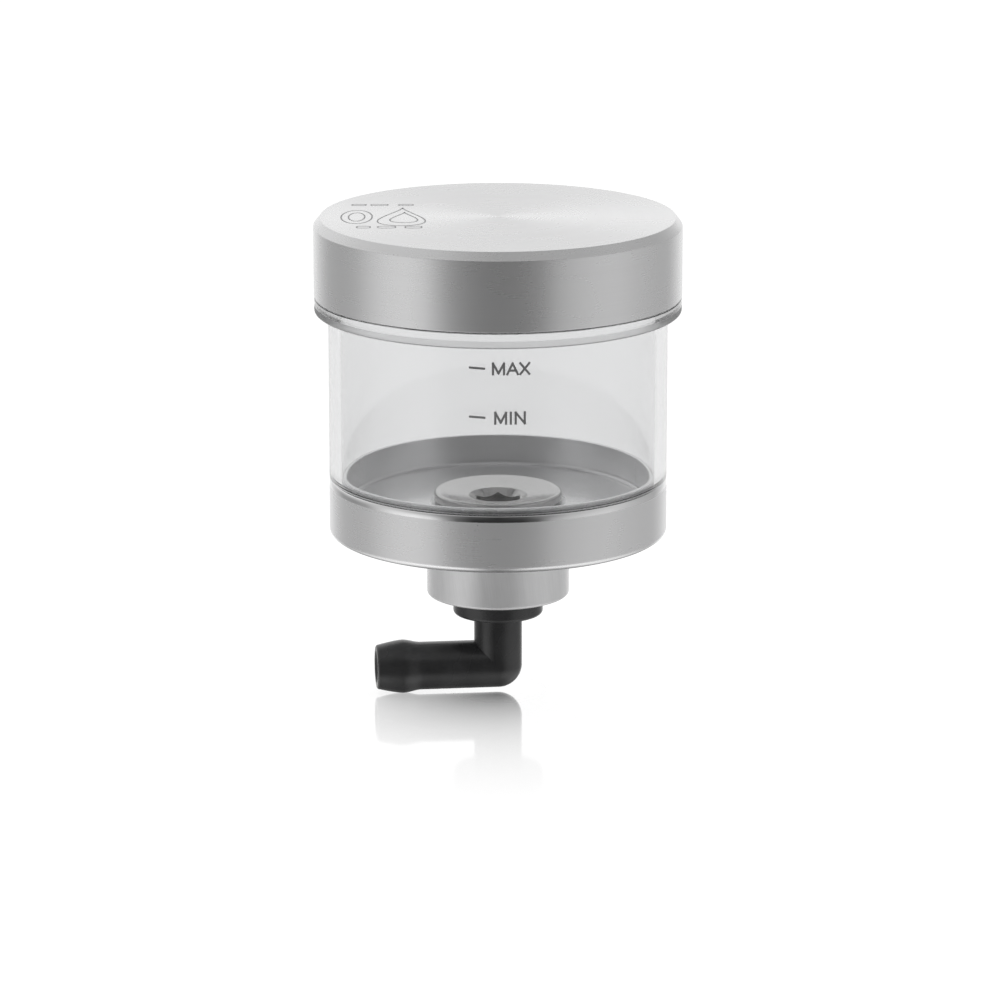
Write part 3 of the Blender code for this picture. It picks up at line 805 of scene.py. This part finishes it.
@dataclass
class SealStack:
    """What the cap presses on the cup's rim: a folded diaphragm, and a ring that the cap slips on."""

    palette: Palette
    diaphragm: Span = field(default_factory=lambda: Span.of("diaphragm"))
    slip_ring: Span = field(default_factory=lambda: Span.of("slip_ring"))
    flange: float = 1.0
    wall: float = 0.8
    bellows: float = 20.9
    well: float = 9.0
    ring_bore: float = 20.6
    fold_drop: float = 1.2
    fold_half: float = 1.4
    fold_foot: float = 2.0
    fold_spread: float = 0.4

    def build(self) -> None:
        """Makes the diaphragm and the slip ring."""
        self.build_diaphragm()
        self.build_slip_ring()

    def build_diaphragm(self) -> None:
        """Turns the folded outline, with every bend rounded as in moulded rubber."""
        bottom, high = self.diaphragm.low, self.diaphragm.high
        low, wall = high - self.flange, self.wall
        fold = (self.bellows - wall - self.well) / 2 + self.well
        crest, crest_half = low - self.fold_drop, self.fold_half + self.fold_spread
        foot = self.bellows - self.fold_foot
        corners = [
            (0.0, bottom, 0.0),
            (self.well, bottom, 0.5),
            (fold - self.fold_half, crest, 0.6),
            (fold + self.fold_half, crest, 0.6),
            (foot, bottom, 0.3),
            (self.bellows, bottom, 0.6),
            (self.bellows, low, 0.15),
            (self.diaphragm.radius, low, 0.2),
            (self.diaphragm.radius, high, 0.2),
            (self.bellows - wall, high, 0.3),
            (self.bellows - wall, bottom + wall, 0.3),
            (foot + self.fold_spread, bottom + wall, 0.3),
            (fold + crest_half, crest + wall, 0.7),
            (fold - crest_half, crest + wall, 0.7),
            (self.well - self.fold_spread, bottom + wall, 0.5),
            (0.0, bottom + wall, 0.0),
        ]
        shell = turned_shell(from_axis(rounded(corners)), SMALL_STEPS)
        piece = add_piece("folded_diaphragm", [shell], self.palette.silicone)
        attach(piece, "seal_stack")
        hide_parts("diaphragm")

    def build_slip_ring(self) -> None:
        """Turns the flat ring, with eased edges."""
        span = self.slip_ring
        edges = (
            (self.ring_bore, span.low), (span.radius, span.low), (span.radius, span.high), (self.ring_bore, span.high),
        )
        outline = rounded([(radius, height, 0.15) for radius, height in edges])
        piece = add_piece("nylon_slip_ring", [turned_shell(outline, SMALL_STEPS)], self.palette.white)
        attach(piece, "seal_stack")
        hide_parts("slip_ring")


Stroke = tuple[float, float, float, float]

# Strokes of each letter as start and end, across and up, in a box of one by one
LETTERS: dict[str, tuple[Stroke, ...]] = {
    "A": ((0, 0, 0.5, 1), (0.5, 1, 1, 0), (0.2, 0.34, 0.8, 0.34)),
    "I": ((0.5, 0, 0.5, 1),),
    "M": ((0, 0, 0, 1), (0, 1, 0.5, 0.1), (0.5, 0.1, 1, 1), (1, 1, 1, 0)),
    "N": ((0, 0, 0, 1), (0, 1, 1, 0), (1, 0, 1, 1)),
    "X": ((0, 0, 1, 1), (0, 1, 1, 0)),
}


@dataclass(frozen=True)
class LevelMark:
    """One printed level: its dash, and its word with the sides of each letter, along the wall."""

    letters: tuple[tuple[str, float, float], ...]
    low: float
    high: float
    dash: Stroke
    stroke: float = 0.3

    def strokes(self) -> Array:
        """Start and end of every stroke, along the wall and up: each letter's box, inset by half a stroke."""
        inset = self.stroke / 2
        placed = [self.dash]
        for letter, left, right in self.letters:
            inner, outer = left + inset, right - inset
            floor, ceiling = self.low + inset, self.high - inset
            for x_from, z_from, x_to, z_to in LETTERS[letter]:
                start = (inner + (outer - inner) * x_from, floor + (ceiling - floor) * z_from)
                stop = (inner + (outer - inner) * x_to, floor + (ceiling - floor) * z_to)
                placed.append((*start, *stop))
        return np.array(placed)


@dataclass
class Cup:
    """The clear cup, and the level marks printed on it."""

    palette: Palette
    span: Span = field(default_factory=lambda: Span.of("cup"))
    wall: float = 23.08
    bore: float = 21.45
    foot_drop: float = 0.25  # how much closer the foot comes to the base's ledge
    flange_low: float = 31.0
    flange_high: float = 33.06
    flange_round: float = 0.35
    neck: float = 22.95
    print_thickness: float = 0.03
    marks: tuple[LevelMark, ...] = (
        LevelMark(
            (("M", -0.8, 0.95), ("A", 1.08, 2.78), ("X", 2.8, 4.3)), 27.1, 28.87, (-3.71, 28.12, -1.82, 28.01)
        ),
        LevelMark(
            (("M", -0.5, 1.22), ("I", 1.5, 1.9), ("N", 2.2, 3.7)), 20.42, 22.22, (-3.7, 21.48, -1.79, 21.38)
        ),
    )

    def build(self) -> None:
        """Makes the cup and its marks."""
        self.build_wall()
        self.build_marks()

    def build_wall(self) -> None:
        """Turns the foot, wall, round-edged flange and threaded neck as one closed skin."""
        rim, foot = self.span.radius, self.span.low - self.foot_drop
        corners = [
            (self.bore, foot, 0.1),
            (self.wall, foot, 0.1),
            (self.wall, self.flange_low, 0.3),
            (rim, self.flange_low, self.flange_round),
            (rim, self.flange_high, 0.15),
            (self.neck, self.flange_high, 0.15),
            (self.neck, self.span.high, 0.3),
            (self.bore, self.span.high, 0.3),
        ]
        outline = refined(rounded(corners, 8), self.neck, 0.06)
        thread = Thread(self.neck, 35.0, 0.0, outward=True)
        piece = add_piece("clear_cup", [turned_shell(outline, BODY_STEPS, thread.relief)], self.palette.clear)
        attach(piece, "reservoir")
        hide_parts("cup")

    def build_marks(self) -> None:
        """Prints each level's dash and word on the wall that faces -Y."""
        shells = [self.stroke_shell(stroke, mark.stroke) for mark in self.marks for stroke in mark.strokes()]
        piece = add_piece("level_marks", shells, self.palette.ink)
        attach(piece, "reservoir")

    def wrapped(self, along: Array, height: Array, lift: Array) -> Array:
        """Wraps flat print round the wall: angle = distance along / radius, from the line that faces -Y."""
        angle = along / self.wall
        radius = self.wall + lift
        return np.stack((radius * np.sin(angle), -radius * np.cos(angle), height), axis=-1)

    def stroke_shell(self, stroke: Array, width: float) -> tuple[Array, Array]:
        """One straight stroke as a thin closed strip that follows the wall.

        Its middle line runs from start to end, half a width longer at each end, and its four corner
        lines lie half a width to each side of it, under and over the wall's surface.

        Args:
            stroke: Start and end, along the wall and up.
            width: The stroke's width.

        Returns:
            Points and quads.
        """
        start, stop = stroke[:2], stroke[2:]
        onward = unit(stop - start)
        reach = onward * width / 2 * 0.9
        side = np.array((-onward[1], onward[0])) * width / 2
        part = np.linspace(0.0, 1.0, 7)[None, :, None]
        line = (start - reach) * (1 - part) + (stop + reach) * part
        edges = line + np.array((-1.0, 1.0, 1.0, -1.0))[:, None, None] * side
        lift = np.array((-0.01, -0.01, self.print_thickness, self.print_thickness))[:, None] + 0 * edges[..., 0]
        strip = self.wrapped(edges[..., 0], edges[..., 1], lift)
        ends = strip[:, [0, -1]].mean(axis=0, keepdims=True) + 0 * strip[:, [0, -1]]
        closed = np.concatenate((ends[:, :1], strip, ends[:, 1:]), axis=1)
        return closed, grid_quads(4, closed.shape[1], True, False)


@dataclass
class Base:
    """The dish under the cup: ledge with its seal groove, raised lip, and a floor with the bolt's seat."""

    palette: Palette
    span: Span = field(default_factory=lambda: Span.of("base"))
    rim_top: float = 8.0
    rim_round: float = 0.93
    rim_round_width: float = 0.35
    groove_out: float = 22.42
    groove_in: float = 21.6
    groove_floor: float = 7.25
    lip_outer: float = 21.28
    lip: float = 20.72
    floor: float = 4.4
    corner: float = 0.5
    bottom_round: float = 0.85
    bolt_hole: float = 5.2
    seat: float = 10.2
    seat_relief: float = 0.1
    seal_seat: float = 7.3
    seal_depth: float = 0.7

    def build(self) -> None:
        """Turns the dish's outline."""
        rim = self.span.radius
        angle = np.linspace(0.0, math.pi / 2, 7)
        oval = zip(
            rim - self.rim_round_width * (1 - np.cos(angle)),
            self.rim_top - self.rim_round * (1 - np.sin(angle)),
        )
        corners = [
            (self.bolt_hole, self.seat_relief, 0.1),
            (self.seat, self.seat_relief, 0.0),
            (self.seat, self.span.low, 0.05),
            (rim, self.span.low, self.bottom_round),
            *((float(radius), float(height), 0.0) for radius, height in oval),
            (self.groove_out, self.rim_top, 0.08),
            (self.groove_out, self.groove_floor, 0.1),
            (self.groove_in, self.groove_floor, 0.1),
            (self.groove_in, self.rim_top, 0.08),
            (self.lip_outer, self.rim_top, 0.05),
            (self.lip_outer, self.span.high, 0.04),
            (self.lip, self.span.high, 0.06),
            (self.lip, self.floor, self.corner),
            (self.seal_seat, self.floor, 0.1),
            (self.seal_seat, self.floor - self.seal_depth, 0.1),
            (self.bolt_hole, self.floor - self.seal_depth, 0.1),
        ]
        piece = add_piece("dished_base", [turned_shell(rounded(corners), BODY_STEPS)], self.palette.dished)
        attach(piece, "reservoir")
        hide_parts("base")


@dataclass
class CentreBolt:
    """The hollow bolt: a wide dished head whose hexagon drains the cup."""

    palette: Palette
    span: Span = field(default_factory=lambda: Span.of("centre_bolt"))
    head_low: float = 4.7
    head_round: float = 0.4
    dish: tuple[tuple[float, float], ...] = ((7.5, 5.8), (6.6, 5.6), (5.4, 5.41))
    seat: float = 4.0
    seat_height: float = 5.25
    sink_slope: float = 1.0
    shank: float = 4.95
    tip_chamfer: float = 0.6
    drain: float = 2.0
    across_flats: float = 6.0
    socket_floor: float = 2.3

    def build(self) -> None:
        """Turns the head and shank, and folds the socket's wall to a hexagon.

        Inside the socket the radius at angle t is (half across flats) / cos(t off the flat's
        middle), and the rim of the socket lies on the countersink's cone.
        """
        head = self.span.radius
        outer = [
            (self.drain, self.span.low, 0.1),
            (self.shank, self.span.low, self.tip_chamfer),
            (self.shank, self.head_low, 0.1),
            (head, self.head_low, 0.15),
            (head, self.span.high, self.head_round),
            *((radius, height, 0.0) for radius, height in self.dish),
            (self.seat, self.seat_height, 0.06),
            (self.drain, self.seat_height - (self.seat - self.drain) * self.sink_slope, 0.0),
        ]
        outline = rounded(outer)
        last = int(np.flatnonzero(np.isclose(outline[:, 0], self.drain) & (outline[:, 1] > self.socket_floor))[0])
        outline = np.roll(outline, -last - 1, axis=0)[:-1]
        angle = np.arange(SMALL_STEPS) / SMALL_STEPS * math.tau
        off_flat = np.mod(angle + math.radians(30), math.radians(60)) - math.radians(30)
        wall = self.across_flats / 2 / np.cos(off_flat)
        mouth = self.seat_height - (self.seat - wall) * self.sink_slope
        bottom = np.full_like(angle, self.socket_floor)
        drain = np.full_like(angle, self.drain)
        skin = spun(outline, SMALL_STEPS)
        socket = ((wall, mouth), (wall, mouth - 0.05), (wall, bottom), (drain, bottom))
        rings = [np.stack((size * np.cos(angle), size * np.sin(angle), height), axis=-1) for size, height in socket]
        points = np.concatenate((skin, np.stack(rings)))
        quads = grid_quads(len(points), SMALL_STEPS, True, True)
        piece = add_piece("drain_bolt", [(points, quads)], self.palette.steel)
        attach(piece, "reservoir")
        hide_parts("centre_bolt")


@dataclass
class Boss:
    """The round nut under the base, which the elbow plugs into."""

    palette: Palette
    span: Span = field(default_factory=lambda: Span.of("clamp_boss"))
    thread: float = 5.1
    seal_seat: float = 6.6
    seal_depth: float = 1.25
    socket: float = 4.6
    socket_top: float = -4.4
    clip_groove: float = 5.0
    clip_low: float = -8.25
    clip_high: float = -7.35

    def build(self) -> None:
        """Turns the boss's outline."""
        span = self.span
        corners = [
            (self.seal_seat, span.high, 0.1),
            (span.radius, span.high, 0.2),
            (span.radius, span.low, 0.42),
            (self.socket, span.low, 0.15),
            (self.socket, self.clip_low, 0.05),
            (self.clip_groove, self.clip_low, 0.05),
            (self.clip_groove, self.clip_high, 0.05),
            (self.socket, self.clip_high, 0.05),
            (self.socket, self.socket_top, 0.1),
            (self.thread, self.socket_top, 0.1),
            (self.thread, span.high - self.seal_depth, 0.1),
            (self.seal_seat, span.high - self.seal_depth, 0.1),
        ]
        piece = add_piece("round_boss", [turned_shell(rounded(corners), SMALL_STEPS)], self.palette.drawn)
        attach(piece, "reservoir")
        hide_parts("clamp_boss")


@dataclass
class Elbow:
    """The hose elbow: a grooved spigot, a collar, a pipe that turns a sharp corner, and a barb."""

    palette: Palette
    spigot: float = 4.4
    spigot_top: float = -4.7
    slot_width: float = 0.95
    slot_bottom: float = 3.62
    slot_heights: tuple[float, float] = (-5.6, -6.75)
    clip_slot: float = 3.75
    clip_low: float = -8.25
    clip_high: float = -7.35
    collar: float = 6.17
    collar_top: float = -8.98
    collar_bottom: float = -11.6
    pipe: float = 3.3
    bore: float = 2.0
    corner: float = -18.95
    barb: float = 3.689
    barb_start: float = 10.7
    barb_peak: float = 13.3
    tip: float = 3.0
    end: float = 16.9
    heading: float = math.radians(6.7)
    crease: float = math.radians(19)  # angle between faces, from which the mitre is sharp

    def build(self) -> None:
        """Makes the elbow and its clip, both turned to the elbow's heading."""
        skin = np.concatenate((self.upright_rings(), self.bend_rings(self.pipe, 25), self.barb_rings()))
        mouth = self.ring(Axis.LEVEL, (self.end - 0.3, self.end), (self.bore, self.bore + 0.25))
        bore = np.concatenate((self.bend_rings(self.bore, 13), mouth))
        top = self.ring(Axis.UPRIGHT, (self.spigot_top,), (self.bore,))
        points = np.concatenate((skin, bore[::-1], top))
        quads = grid_quads(len(points), ELBOW_STEPS, True, True)
        piece = add_piece("hose_elbow", [(self.headed(points), quads)], self.palette.nylon, self.crease)
        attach(piece, "elbow")
        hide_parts("elbow")
        self.build_clip()

    def headed(self, points: Array) -> Array:
        """Turns points about Z to the elbow's heading at rest."""
        cosine, sine = math.cos(self.heading), math.sin(self.heading)
        across, forward, height = points[..., 0], points[..., 1], points[..., 2]
        return np.stack((across * cosine - forward * sine, across * sine + forward * cosine, height), axis=-1)

    def ring(self, axis: Axis, places: Sequence[float], sizes: Sequence[float]) -> Array:
        """Rings round one of the two axes.

        Upright, a point is (r cos t, r sin t, place). Level, it is (-place, r sin t, corner - r cos t),
        so that the two meet point for point at the corner.

        Args:
            axis: The line that the rings go round.
            places: Height of each ring, or its distance out from the spigot's axis.
            sizes: Radius of each ring.

        Returns:
            A row of points for each ring.
        """
        angle = (np.arange(ELBOW_STEPS) / ELBOW_STEPS * math.tau)[None]
        place = np.asarray(places, dtype=float)[:, None] + 0 * angle
        radius = np.asarray(sizes, dtype=float)[:, None]
        if axis is Axis.UPRIGHT:
            return np.stack((radius * np.cos(angle), radius * np.sin(angle), place), axis=-1)
        return np.stack((-place, radius * np.sin(angle), self.corner - radius * np.cos(angle)), axis=-1)

    def upright_rings(self) -> Array:
        """The spigot with its grooves, the collar, and the top of the pipe."""
        half = self.slot_width / 2
        steps = [(self.spigot_top, self.bore + 0.3), (self.spigot_top, self.spigot - 0.3)]
        steps += [(self.spigot_top - 0.3, self.spigot)]
        for centre in self.slot_heights:
            steps += [(centre + half, self.spigot), (centre + half, self.slot_bottom)]
            steps += [(centre - half, self.slot_bottom), (centre - half, self.spigot)]
        steps += [(self.clip_high, self.spigot), (self.clip_high, self.clip_slot)]
        steps += [(self.clip_low, self.clip_slot), (self.clip_low, self.spigot)]
        collar = [
            (self.spigot, self.collar_top, 0.1),
            (self.collar, self.collar_top, 0.25),
            (self.collar, self.collar_bottom, 0.45),
            (self.pipe, self.collar_bottom, 0.35),
            (self.pipe, self.corner + self.pipe, 0.0),
            (self.spigot, self.corner + self.pipe, 0.0),
        ]
        outline = rounded(collar)
        kept = (outline[:, 1] > self.corner + self.pipe + 0.01) & (outline[:, 1] < self.clip_low)
        outline = outline[kept]
        places = [height for height, _ in steps] + outline[:, 1].tolist()
        sizes = [radius for _, radius in steps] + outline[:, 0].tolist()
        return self.ring(Axis.UPRIGHT, places, sizes)

    def bend_rings(self, radius: float, count: int) -> Array:
        """Rings of the corner: a quarter of a ball outside, where the inner half folds up to a mitre.

        Ring k is turned by a = k / (count - 1) right angles. A point that lies outward by u goes to
        (u cos a, u sin a down) outside, and keeps to the mitre plane (u, u down) inside.

        Args:
            radius: Radius of the pipe or the bore.
            count: Rings to make.

        Returns:
            A row of points for each ring.
        """
        angle = (np.arange(ELBOW_STEPS) / ELBOW_STEPS * math.tau)[None]
        turn = (np.linspace(0.0, math.pi / 2, count))[:, None]
        outward = radius * np.cos(angle)
        outer, inner = np.maximum(outward, 0), np.minimum(outward, 0)
        across = outer * np.cos(turn) + inner
        drop = outer * np.sin(turn) + inner
        return np.stack((across, radius * np.sin(angle) + 0 * turn, self.corner - drop), axis=-1)

    def barb_rings(self) -> Array:
        """The pipe and the barb, which swells as half a cosine wave and tapers to a rounded tip."""
        places = np.concatenate(
            (
                np.linspace(4.0, self.barb_start, 8),
                np.linspace(self.barb_start, self.barb_peak, 16)[1:],
                np.linspace(self.barb_peak, self.end - 0.35, 20)[1:],
            )
        )
        rise = np.clip((places - self.barb_start) / (self.barb_peak - self.barb_start), 0.0, 1.0)
        fall = np.clip((places - self.barb_peak) / (self.end - self.barb_peak), 0.0, 1.0)
        sizes = self.pipe + (self.barb - self.pipe) * (1 - np.cos(math.pi * rise)) / 2
        sizes = sizes + (self.tip - self.barb) * fall**1.35
        tip = np.linspace(0.0, math.pi / 2, 7)[1:]
        places = np.append(places, self.end - 0.35 * (1 - np.sin(tip)))
        sizes = np.append(sizes, sizes[-1] - 0.35 * (1 - np.cos(tip)))
        return self.ring(Axis.LEVEL, places, sizes)

    def build_clip(self) -> None:
        """An open ring of square wire with eased corners, a closed tube bent through 330 degrees."""
        inner, outer = self.clip_slot + 0.12, 4.85
        low, high = self.clip_low + 0.12, self.clip_high - 0.12
        section = rounded([(inner, low, 0.12), (outer, low, 0.12), (outer, high, 0.12), (inner, high, 0.12)], 3)
        angle = np.linspace(0.0, math.radians(330), SEAL_STEPS)[:, None]
        radius, height = section[None, :, 0], section[None, :, 1]
        tube = np.stack((radius * np.cos(angle), radius * np.sin(angle), height + 0 * angle), axis=-1)
        ends = tube[[0, -1]].mean(axis=1, keepdims=True) + 0 * tube[[0, -1]]
        points = np.concatenate((ends[:1], tube, ends[1:]))
        quads = grid_quads(len(points), points.shape[1], False, True)
        piece = add_piece("wire_clip", [(self.headed(points), quads)], self.palette.steel)
        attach(piece, "elbow")
        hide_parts("snap_ring")


@dataclass
class Seals:
    """The five O-rings, each a round wire in the middle of its node's box."""

    palette: Palette
    rings: tuple[tuple[str, str, str, float], ...] = (
        ("base_seal", "cup_o_ring", "reservoir", 0.7),
        ("bolt_head_seal", "bolt_o_ring", "reservoir", 0.9),
        ("boss_seal", "boss_o_ring", "reservoir", 1.0),
        ("upper_spigot_o_ring", "spigot_o_ring_upper", "elbow", 0.8),
        ("lower_spigot_o_ring", "spigot_o_ring_lower", "elbow", 0.8),
    )

    def build(self) -> None:
        """Makes each ring and sets it on its body."""
        for node, name, body, wire in self.rings:
            span = Span.of(node)
            shell = ring_shell(span.radius - wire / 2, (span.low + span.high) / 2, wire)
            piece = add_piece(name, [shell], self.palette.rubber)
            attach(piece, body)
            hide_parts(node)


# ---------------------------------------------------------------- studio


@dataclass(frozen=True)
class LightBand:
    """The studio's brightness at one height, as tones at angles from the front, to the right."""

    name: str
    tones: tuple[tuple[float, float], ...]


@dataclass
class Studio:
    """A plain white studio: soft panels all round, a pale glossy floor, and the camera."""

    lens: float = 184.7
    distance: float = 0.7035
    elevation: float = math.radians(14.302)
    aim_height: float = 0.004306
    aim_across: float = 0.00027
    floor_drop: float = 0.0001
    floor_tone: float = 0.6
    floor_glow: float = 0.74
    mirror_roughness: float = 0.07
    mirror_share: float = 1.35  # how much the floor mirrors right under the object
    mirror_half: float = 0.011  # distance from the axis over which that halves
    peak: float = 1.3
    below: LightBand = LightBand(
        "below",
        (
            (-180, 0.12), (-150, 0.3), (-120, 0.9), (-62, 1.2), (-30, 1.15), (-18, 0.7), (-8, 0.35), (0, 0.3),
            (8, 0.35), (18, 0.65), (30, 1.0), (67, 1.1), (120, 0.9), (150, 0.3), (180, 0.12),
        ),
    )
    level: LightBand = LightBand(
        "level",
        (
            (-180, 1.0), (-158, 0.88), (-146, 0.62), (-130, 0.33), (-114, 0.28), (-100, 0.34), (-88, 0.58),
            (-74, 0.82), (-58, 0.91), (-46, 0.78), (-36, 0.36), (-28, 0.12), (-16, 0.03), (0, 0.03), (16, 0.03),
            (27, 0.1), (37, 0.38), (48, 0.53), (64, 0.64), (80, 0.67), (96, 0.54), (116, 0.45), (132, 0.42),
            (146, 0.7), (158, 0.92), (180, 1.0),
        ),
    )
    raised: LightBand = LightBand(
        "raised",
        (
            (-180, 1.03), (-150, 0.92), (-130, 0.85), (-112, 0.7), (-90, 0.58), (-70, 0.58), (-50, 0.46), (-38, 0.26),
            (-20, 0.08), (0, 0.03), (20, 0.08), (38, 0.28), (50, 0.46), (70, 0.56), (92, 0.6), (112, 0.45),
            (130, 0.4), (150, 0.6), (165, 1.0), (180, 1.03),
        ),
    )
    above: LightBand = LightBand(
        "above",
        (
            (-180, 1.03), (-150, 0.92), (-130, 0.85), (-105, 0.8), (-64, 0.74), (-30, 0.5),
            (0, 0.42), (30, 0.46), (67, 0.47), (105, 0.42), (130, 0.42), (150, 0.6), (165, 1.0), (180, 1.03),
        ),
    )

    def build(self) -> None:
        """Sets up the camera, the light and the floor."""
        self.build_camera()
        self.build_light()
        self.build_floor()

    def build_camera(self) -> None:
        """A long lens that looks along +Y and slightly down at the cup's axis."""
        data = bpy.data.cameras.new("camera")
        data.lens = self.lens
        data.sensor_width = 36.0
        data.clip_start, data.clip_end = 0.05, 50.0
        camera = bpy.data.objects.new("camera", data)
        away = Vector((0.0, -math.cos(self.elevation), math.sin(self.elevation))) * self.distance
        camera.location = Vector((self.aim_across, 0.0, self.aim_height)) + away
        camera.rotation_euler = Euler((math.pi / 2 - self.elevation, 0.0, 0.0))
        bpy.context.scene.collection.objects.link(camera)
        bpy.context.scene.camera = camera
        bpy.context.scene.view_settings.view_transform = "Standard"

    def ramp(self, sheet: NodeSheet, place: bpy.types.NodeSocket, band: LightBand) -> bpy.types.NodeSocket:
        """One band of the studio as a colour ramp over the angle round the object."""
        node = sheet.add("ValToRGB", {0: place}, label=band.name)
        node.color_ramp.interpolation = "LINEAR"
        stops = node.color_ramp.elements
        while len(stops) < len(band.tones):
            stops.new(0.5)
        for index, (angle, tone) in enumerate(band.tones):
            stops[index].position = (angle + 180) / 360
            stops[index].color = (tone / self.peak, tone / self.peak, tone / self.peak, 1.0)
        return node.outputs[0]

    def build_light(self) -> None:
        """Lights the object from soft panels in every direction, in front of a white backdrop.

        The angle round the object is atan2(x, -y), and the height is the direction's z. The four
        bands are blended over the height, and the light fades straight below, under the object.
        The backdrop itself, seen past the object or straight through its cup, is plain white.
        """
        world = bpy.data.worlds.new("studio")
        world.use_nodes = True
        bpy.context.scene.world = world
        sheet = NodeSheet(world.node_tree)
        towards = sheet.add("TexCoord").outputs["Generated"]
        split = sheet.add("SeparateXYZ", {0: towards}).outputs
        angle = sheet.maths("ARCTAN2", split["X"], sheet.maths("MULTIPLY", split["Y"], -1.0))
        place = sheet.mapped(angle, -math.pi, math.pi, 0.0, 1.0)
        low = self.ramp(sheet, place, self.below)
        middle = self.ramp(sheet, place, self.level)
        raised = self.ramp(sheet, place, self.raised)
        high = self.ramp(sheet, place, self.above)
        rising = sheet.mapped(split["Z"], -0.62, -0.36, 0.0, 1.0)
        lifting = sheet.mapped(split["Z"], -0.08, 0.3, 0.0, 1.0)
        topping = sheet.mapped(split["Z"], 0.5, 0.85, 0.0, 1.0)
        lower = sheet.add("Mix", {0: rising, 6: low, 7: middle}, data_type="RGBA").outputs[2]
        upper = sheet.add("Mix", {0: topping, 6: raised, 7: high}, data_type="RGBA").outputs[2]
        panels = sheet.add("Mix", {0: lifting, 6: lower, 7: upper}, data_type="RGBA").outputs[2]
        fading = sheet.mapped(split["Z"], -0.99, -0.8, 0.2, 1.0)
        path = sheet.add("LightPath").outputs
        bounces = sheet.maths("ADD", path["Glossy Depth"], path["Diffuse Depth"])
        straight = sheet.maths("MULTIPLY", path["Is Transmission Ray"], sheet.maths("LESS_THAN", bounces, 0.5))
        seen = sheet.maths("MAXIMUM", path["Is Camera Ray"], straight)
        strength = sheet.maths("MULTIPLY", fading, self.peak)
        light = sheet.add("Background", {"Color": panels, "Strength": strength})
        backdrop = sheet.add("Background", {"Color": (1.0, 1.0, 1.0, 1.0), "Strength": 1.05})
        mixed = sheet.add("MixShader", {0: seen, 1: light.outputs[0], 2: backdrop.outputs[0]})
        result = next(node for node in world.node_tree.nodes if node.type == "OUTPUT_WORLD")
        world.node_tree.links.new(mixed.outputs[0], result.inputs["Surface"])

    def build_floor(self) -> None:
        """A pale glossy sheet just under the elbow, which lights nothing itself."""
        height = cad_box[0].z - self.floor_drop
        reach = 6.0
        corners = np.array(((-reach, -reach), (reach, -reach), (reach, reach), (-reach, reach)))
        points = np.concatenate((corners, np.full((4, 1), height)), axis=1)
        mesh = bpy.data.meshes.new("studio_floor")
        mesh.from_pydata(points.tolist(), [], [(0, 1, 2, 3)])
        mesh.materials.append(self.floor_finish())
        floor = bpy.data.objects.new("studio_floor", mesh)
        bpy.context.scene.collection.objects.link(floor)
        floor.visible_glossy = floor.visible_diffuse = floor.visible_shadow = False

    def floor_finish(self) -> bpy.types.Material:
        """White, a little self-lit so that it meets the backdrop, with a mirror that fades outwards."""
        material = bpy.data.materials.new("studio_floor")
        material.use_nodes = True
        sheet = NodeSheet(material.node_tree)
        nodes = material.node_tree.nodes
        nodes.remove(nodes["Principled BSDF"])
        chalk = sheet.add("BsdfDiffuse", {"Color": (self.floor_tone, self.floor_tone, self.floor_tone, 1.0)})
        glow = sheet.add("Emission", {"Strength": self.floor_glow})
        mirror = sheet.add("BsdfGlossy", {"Color": (1.0, 1.0, 1.0, 1.0), "Roughness": self.mirror_roughness})
        pale = sheet.add("AddShader", {0: chalk.outputs[0], 1: glow.outputs[0]})
        spot = sheet.add("SeparateXYZ", {0: sheet.add("TexCoord").outputs["Object"]}).outputs
        across, along = (sheet.maths("POWER", spot[name], 2.0) for name in "XY")
        away = sheet.maths("SQRT", sheet.maths("ADD", across, along))
        halvings = sheet.maths("DIVIDE", away, self.mirror_half)
        facing = sheet.add("LayerWeight", {"Blend": 0.5}).outputs["Facing"]
        share = sheet.maths("MULTIPLY", facing, self.mirror_share)
        share = sheet.maths("MULTIPLY", share, sheet.maths("POWER", 0.5, halvings))
        mixed = sheet.add("MixShader", {0: share, 1: pale.outputs[0], 2: mirror.outputs[0]})
        material.node_tree.links.new(mixed.outputs[0], nodes["Material Output"].inputs["Surface"])
        return material


def main() -> None:
    """Builds every sub-assembly in order, then the studio."""
    logging.basicConfig(level=logging.INFO, format="%(name)s: %(message)s")
    palette = Palette()
    for part in (Cap, SealStack, Cup, Base, CentreBolt, Boss, Elbow, Seals):
        before = set(bpy.data.objects)
        part(palette).build()
        for piece in set(bpy.data.objects) - before:
            LOG.info("%s: %s, %d faces", part.__name__, piece.name, len(piece.data.polygons))
    Studio().build()


if __name__ == "__main__":
    main()
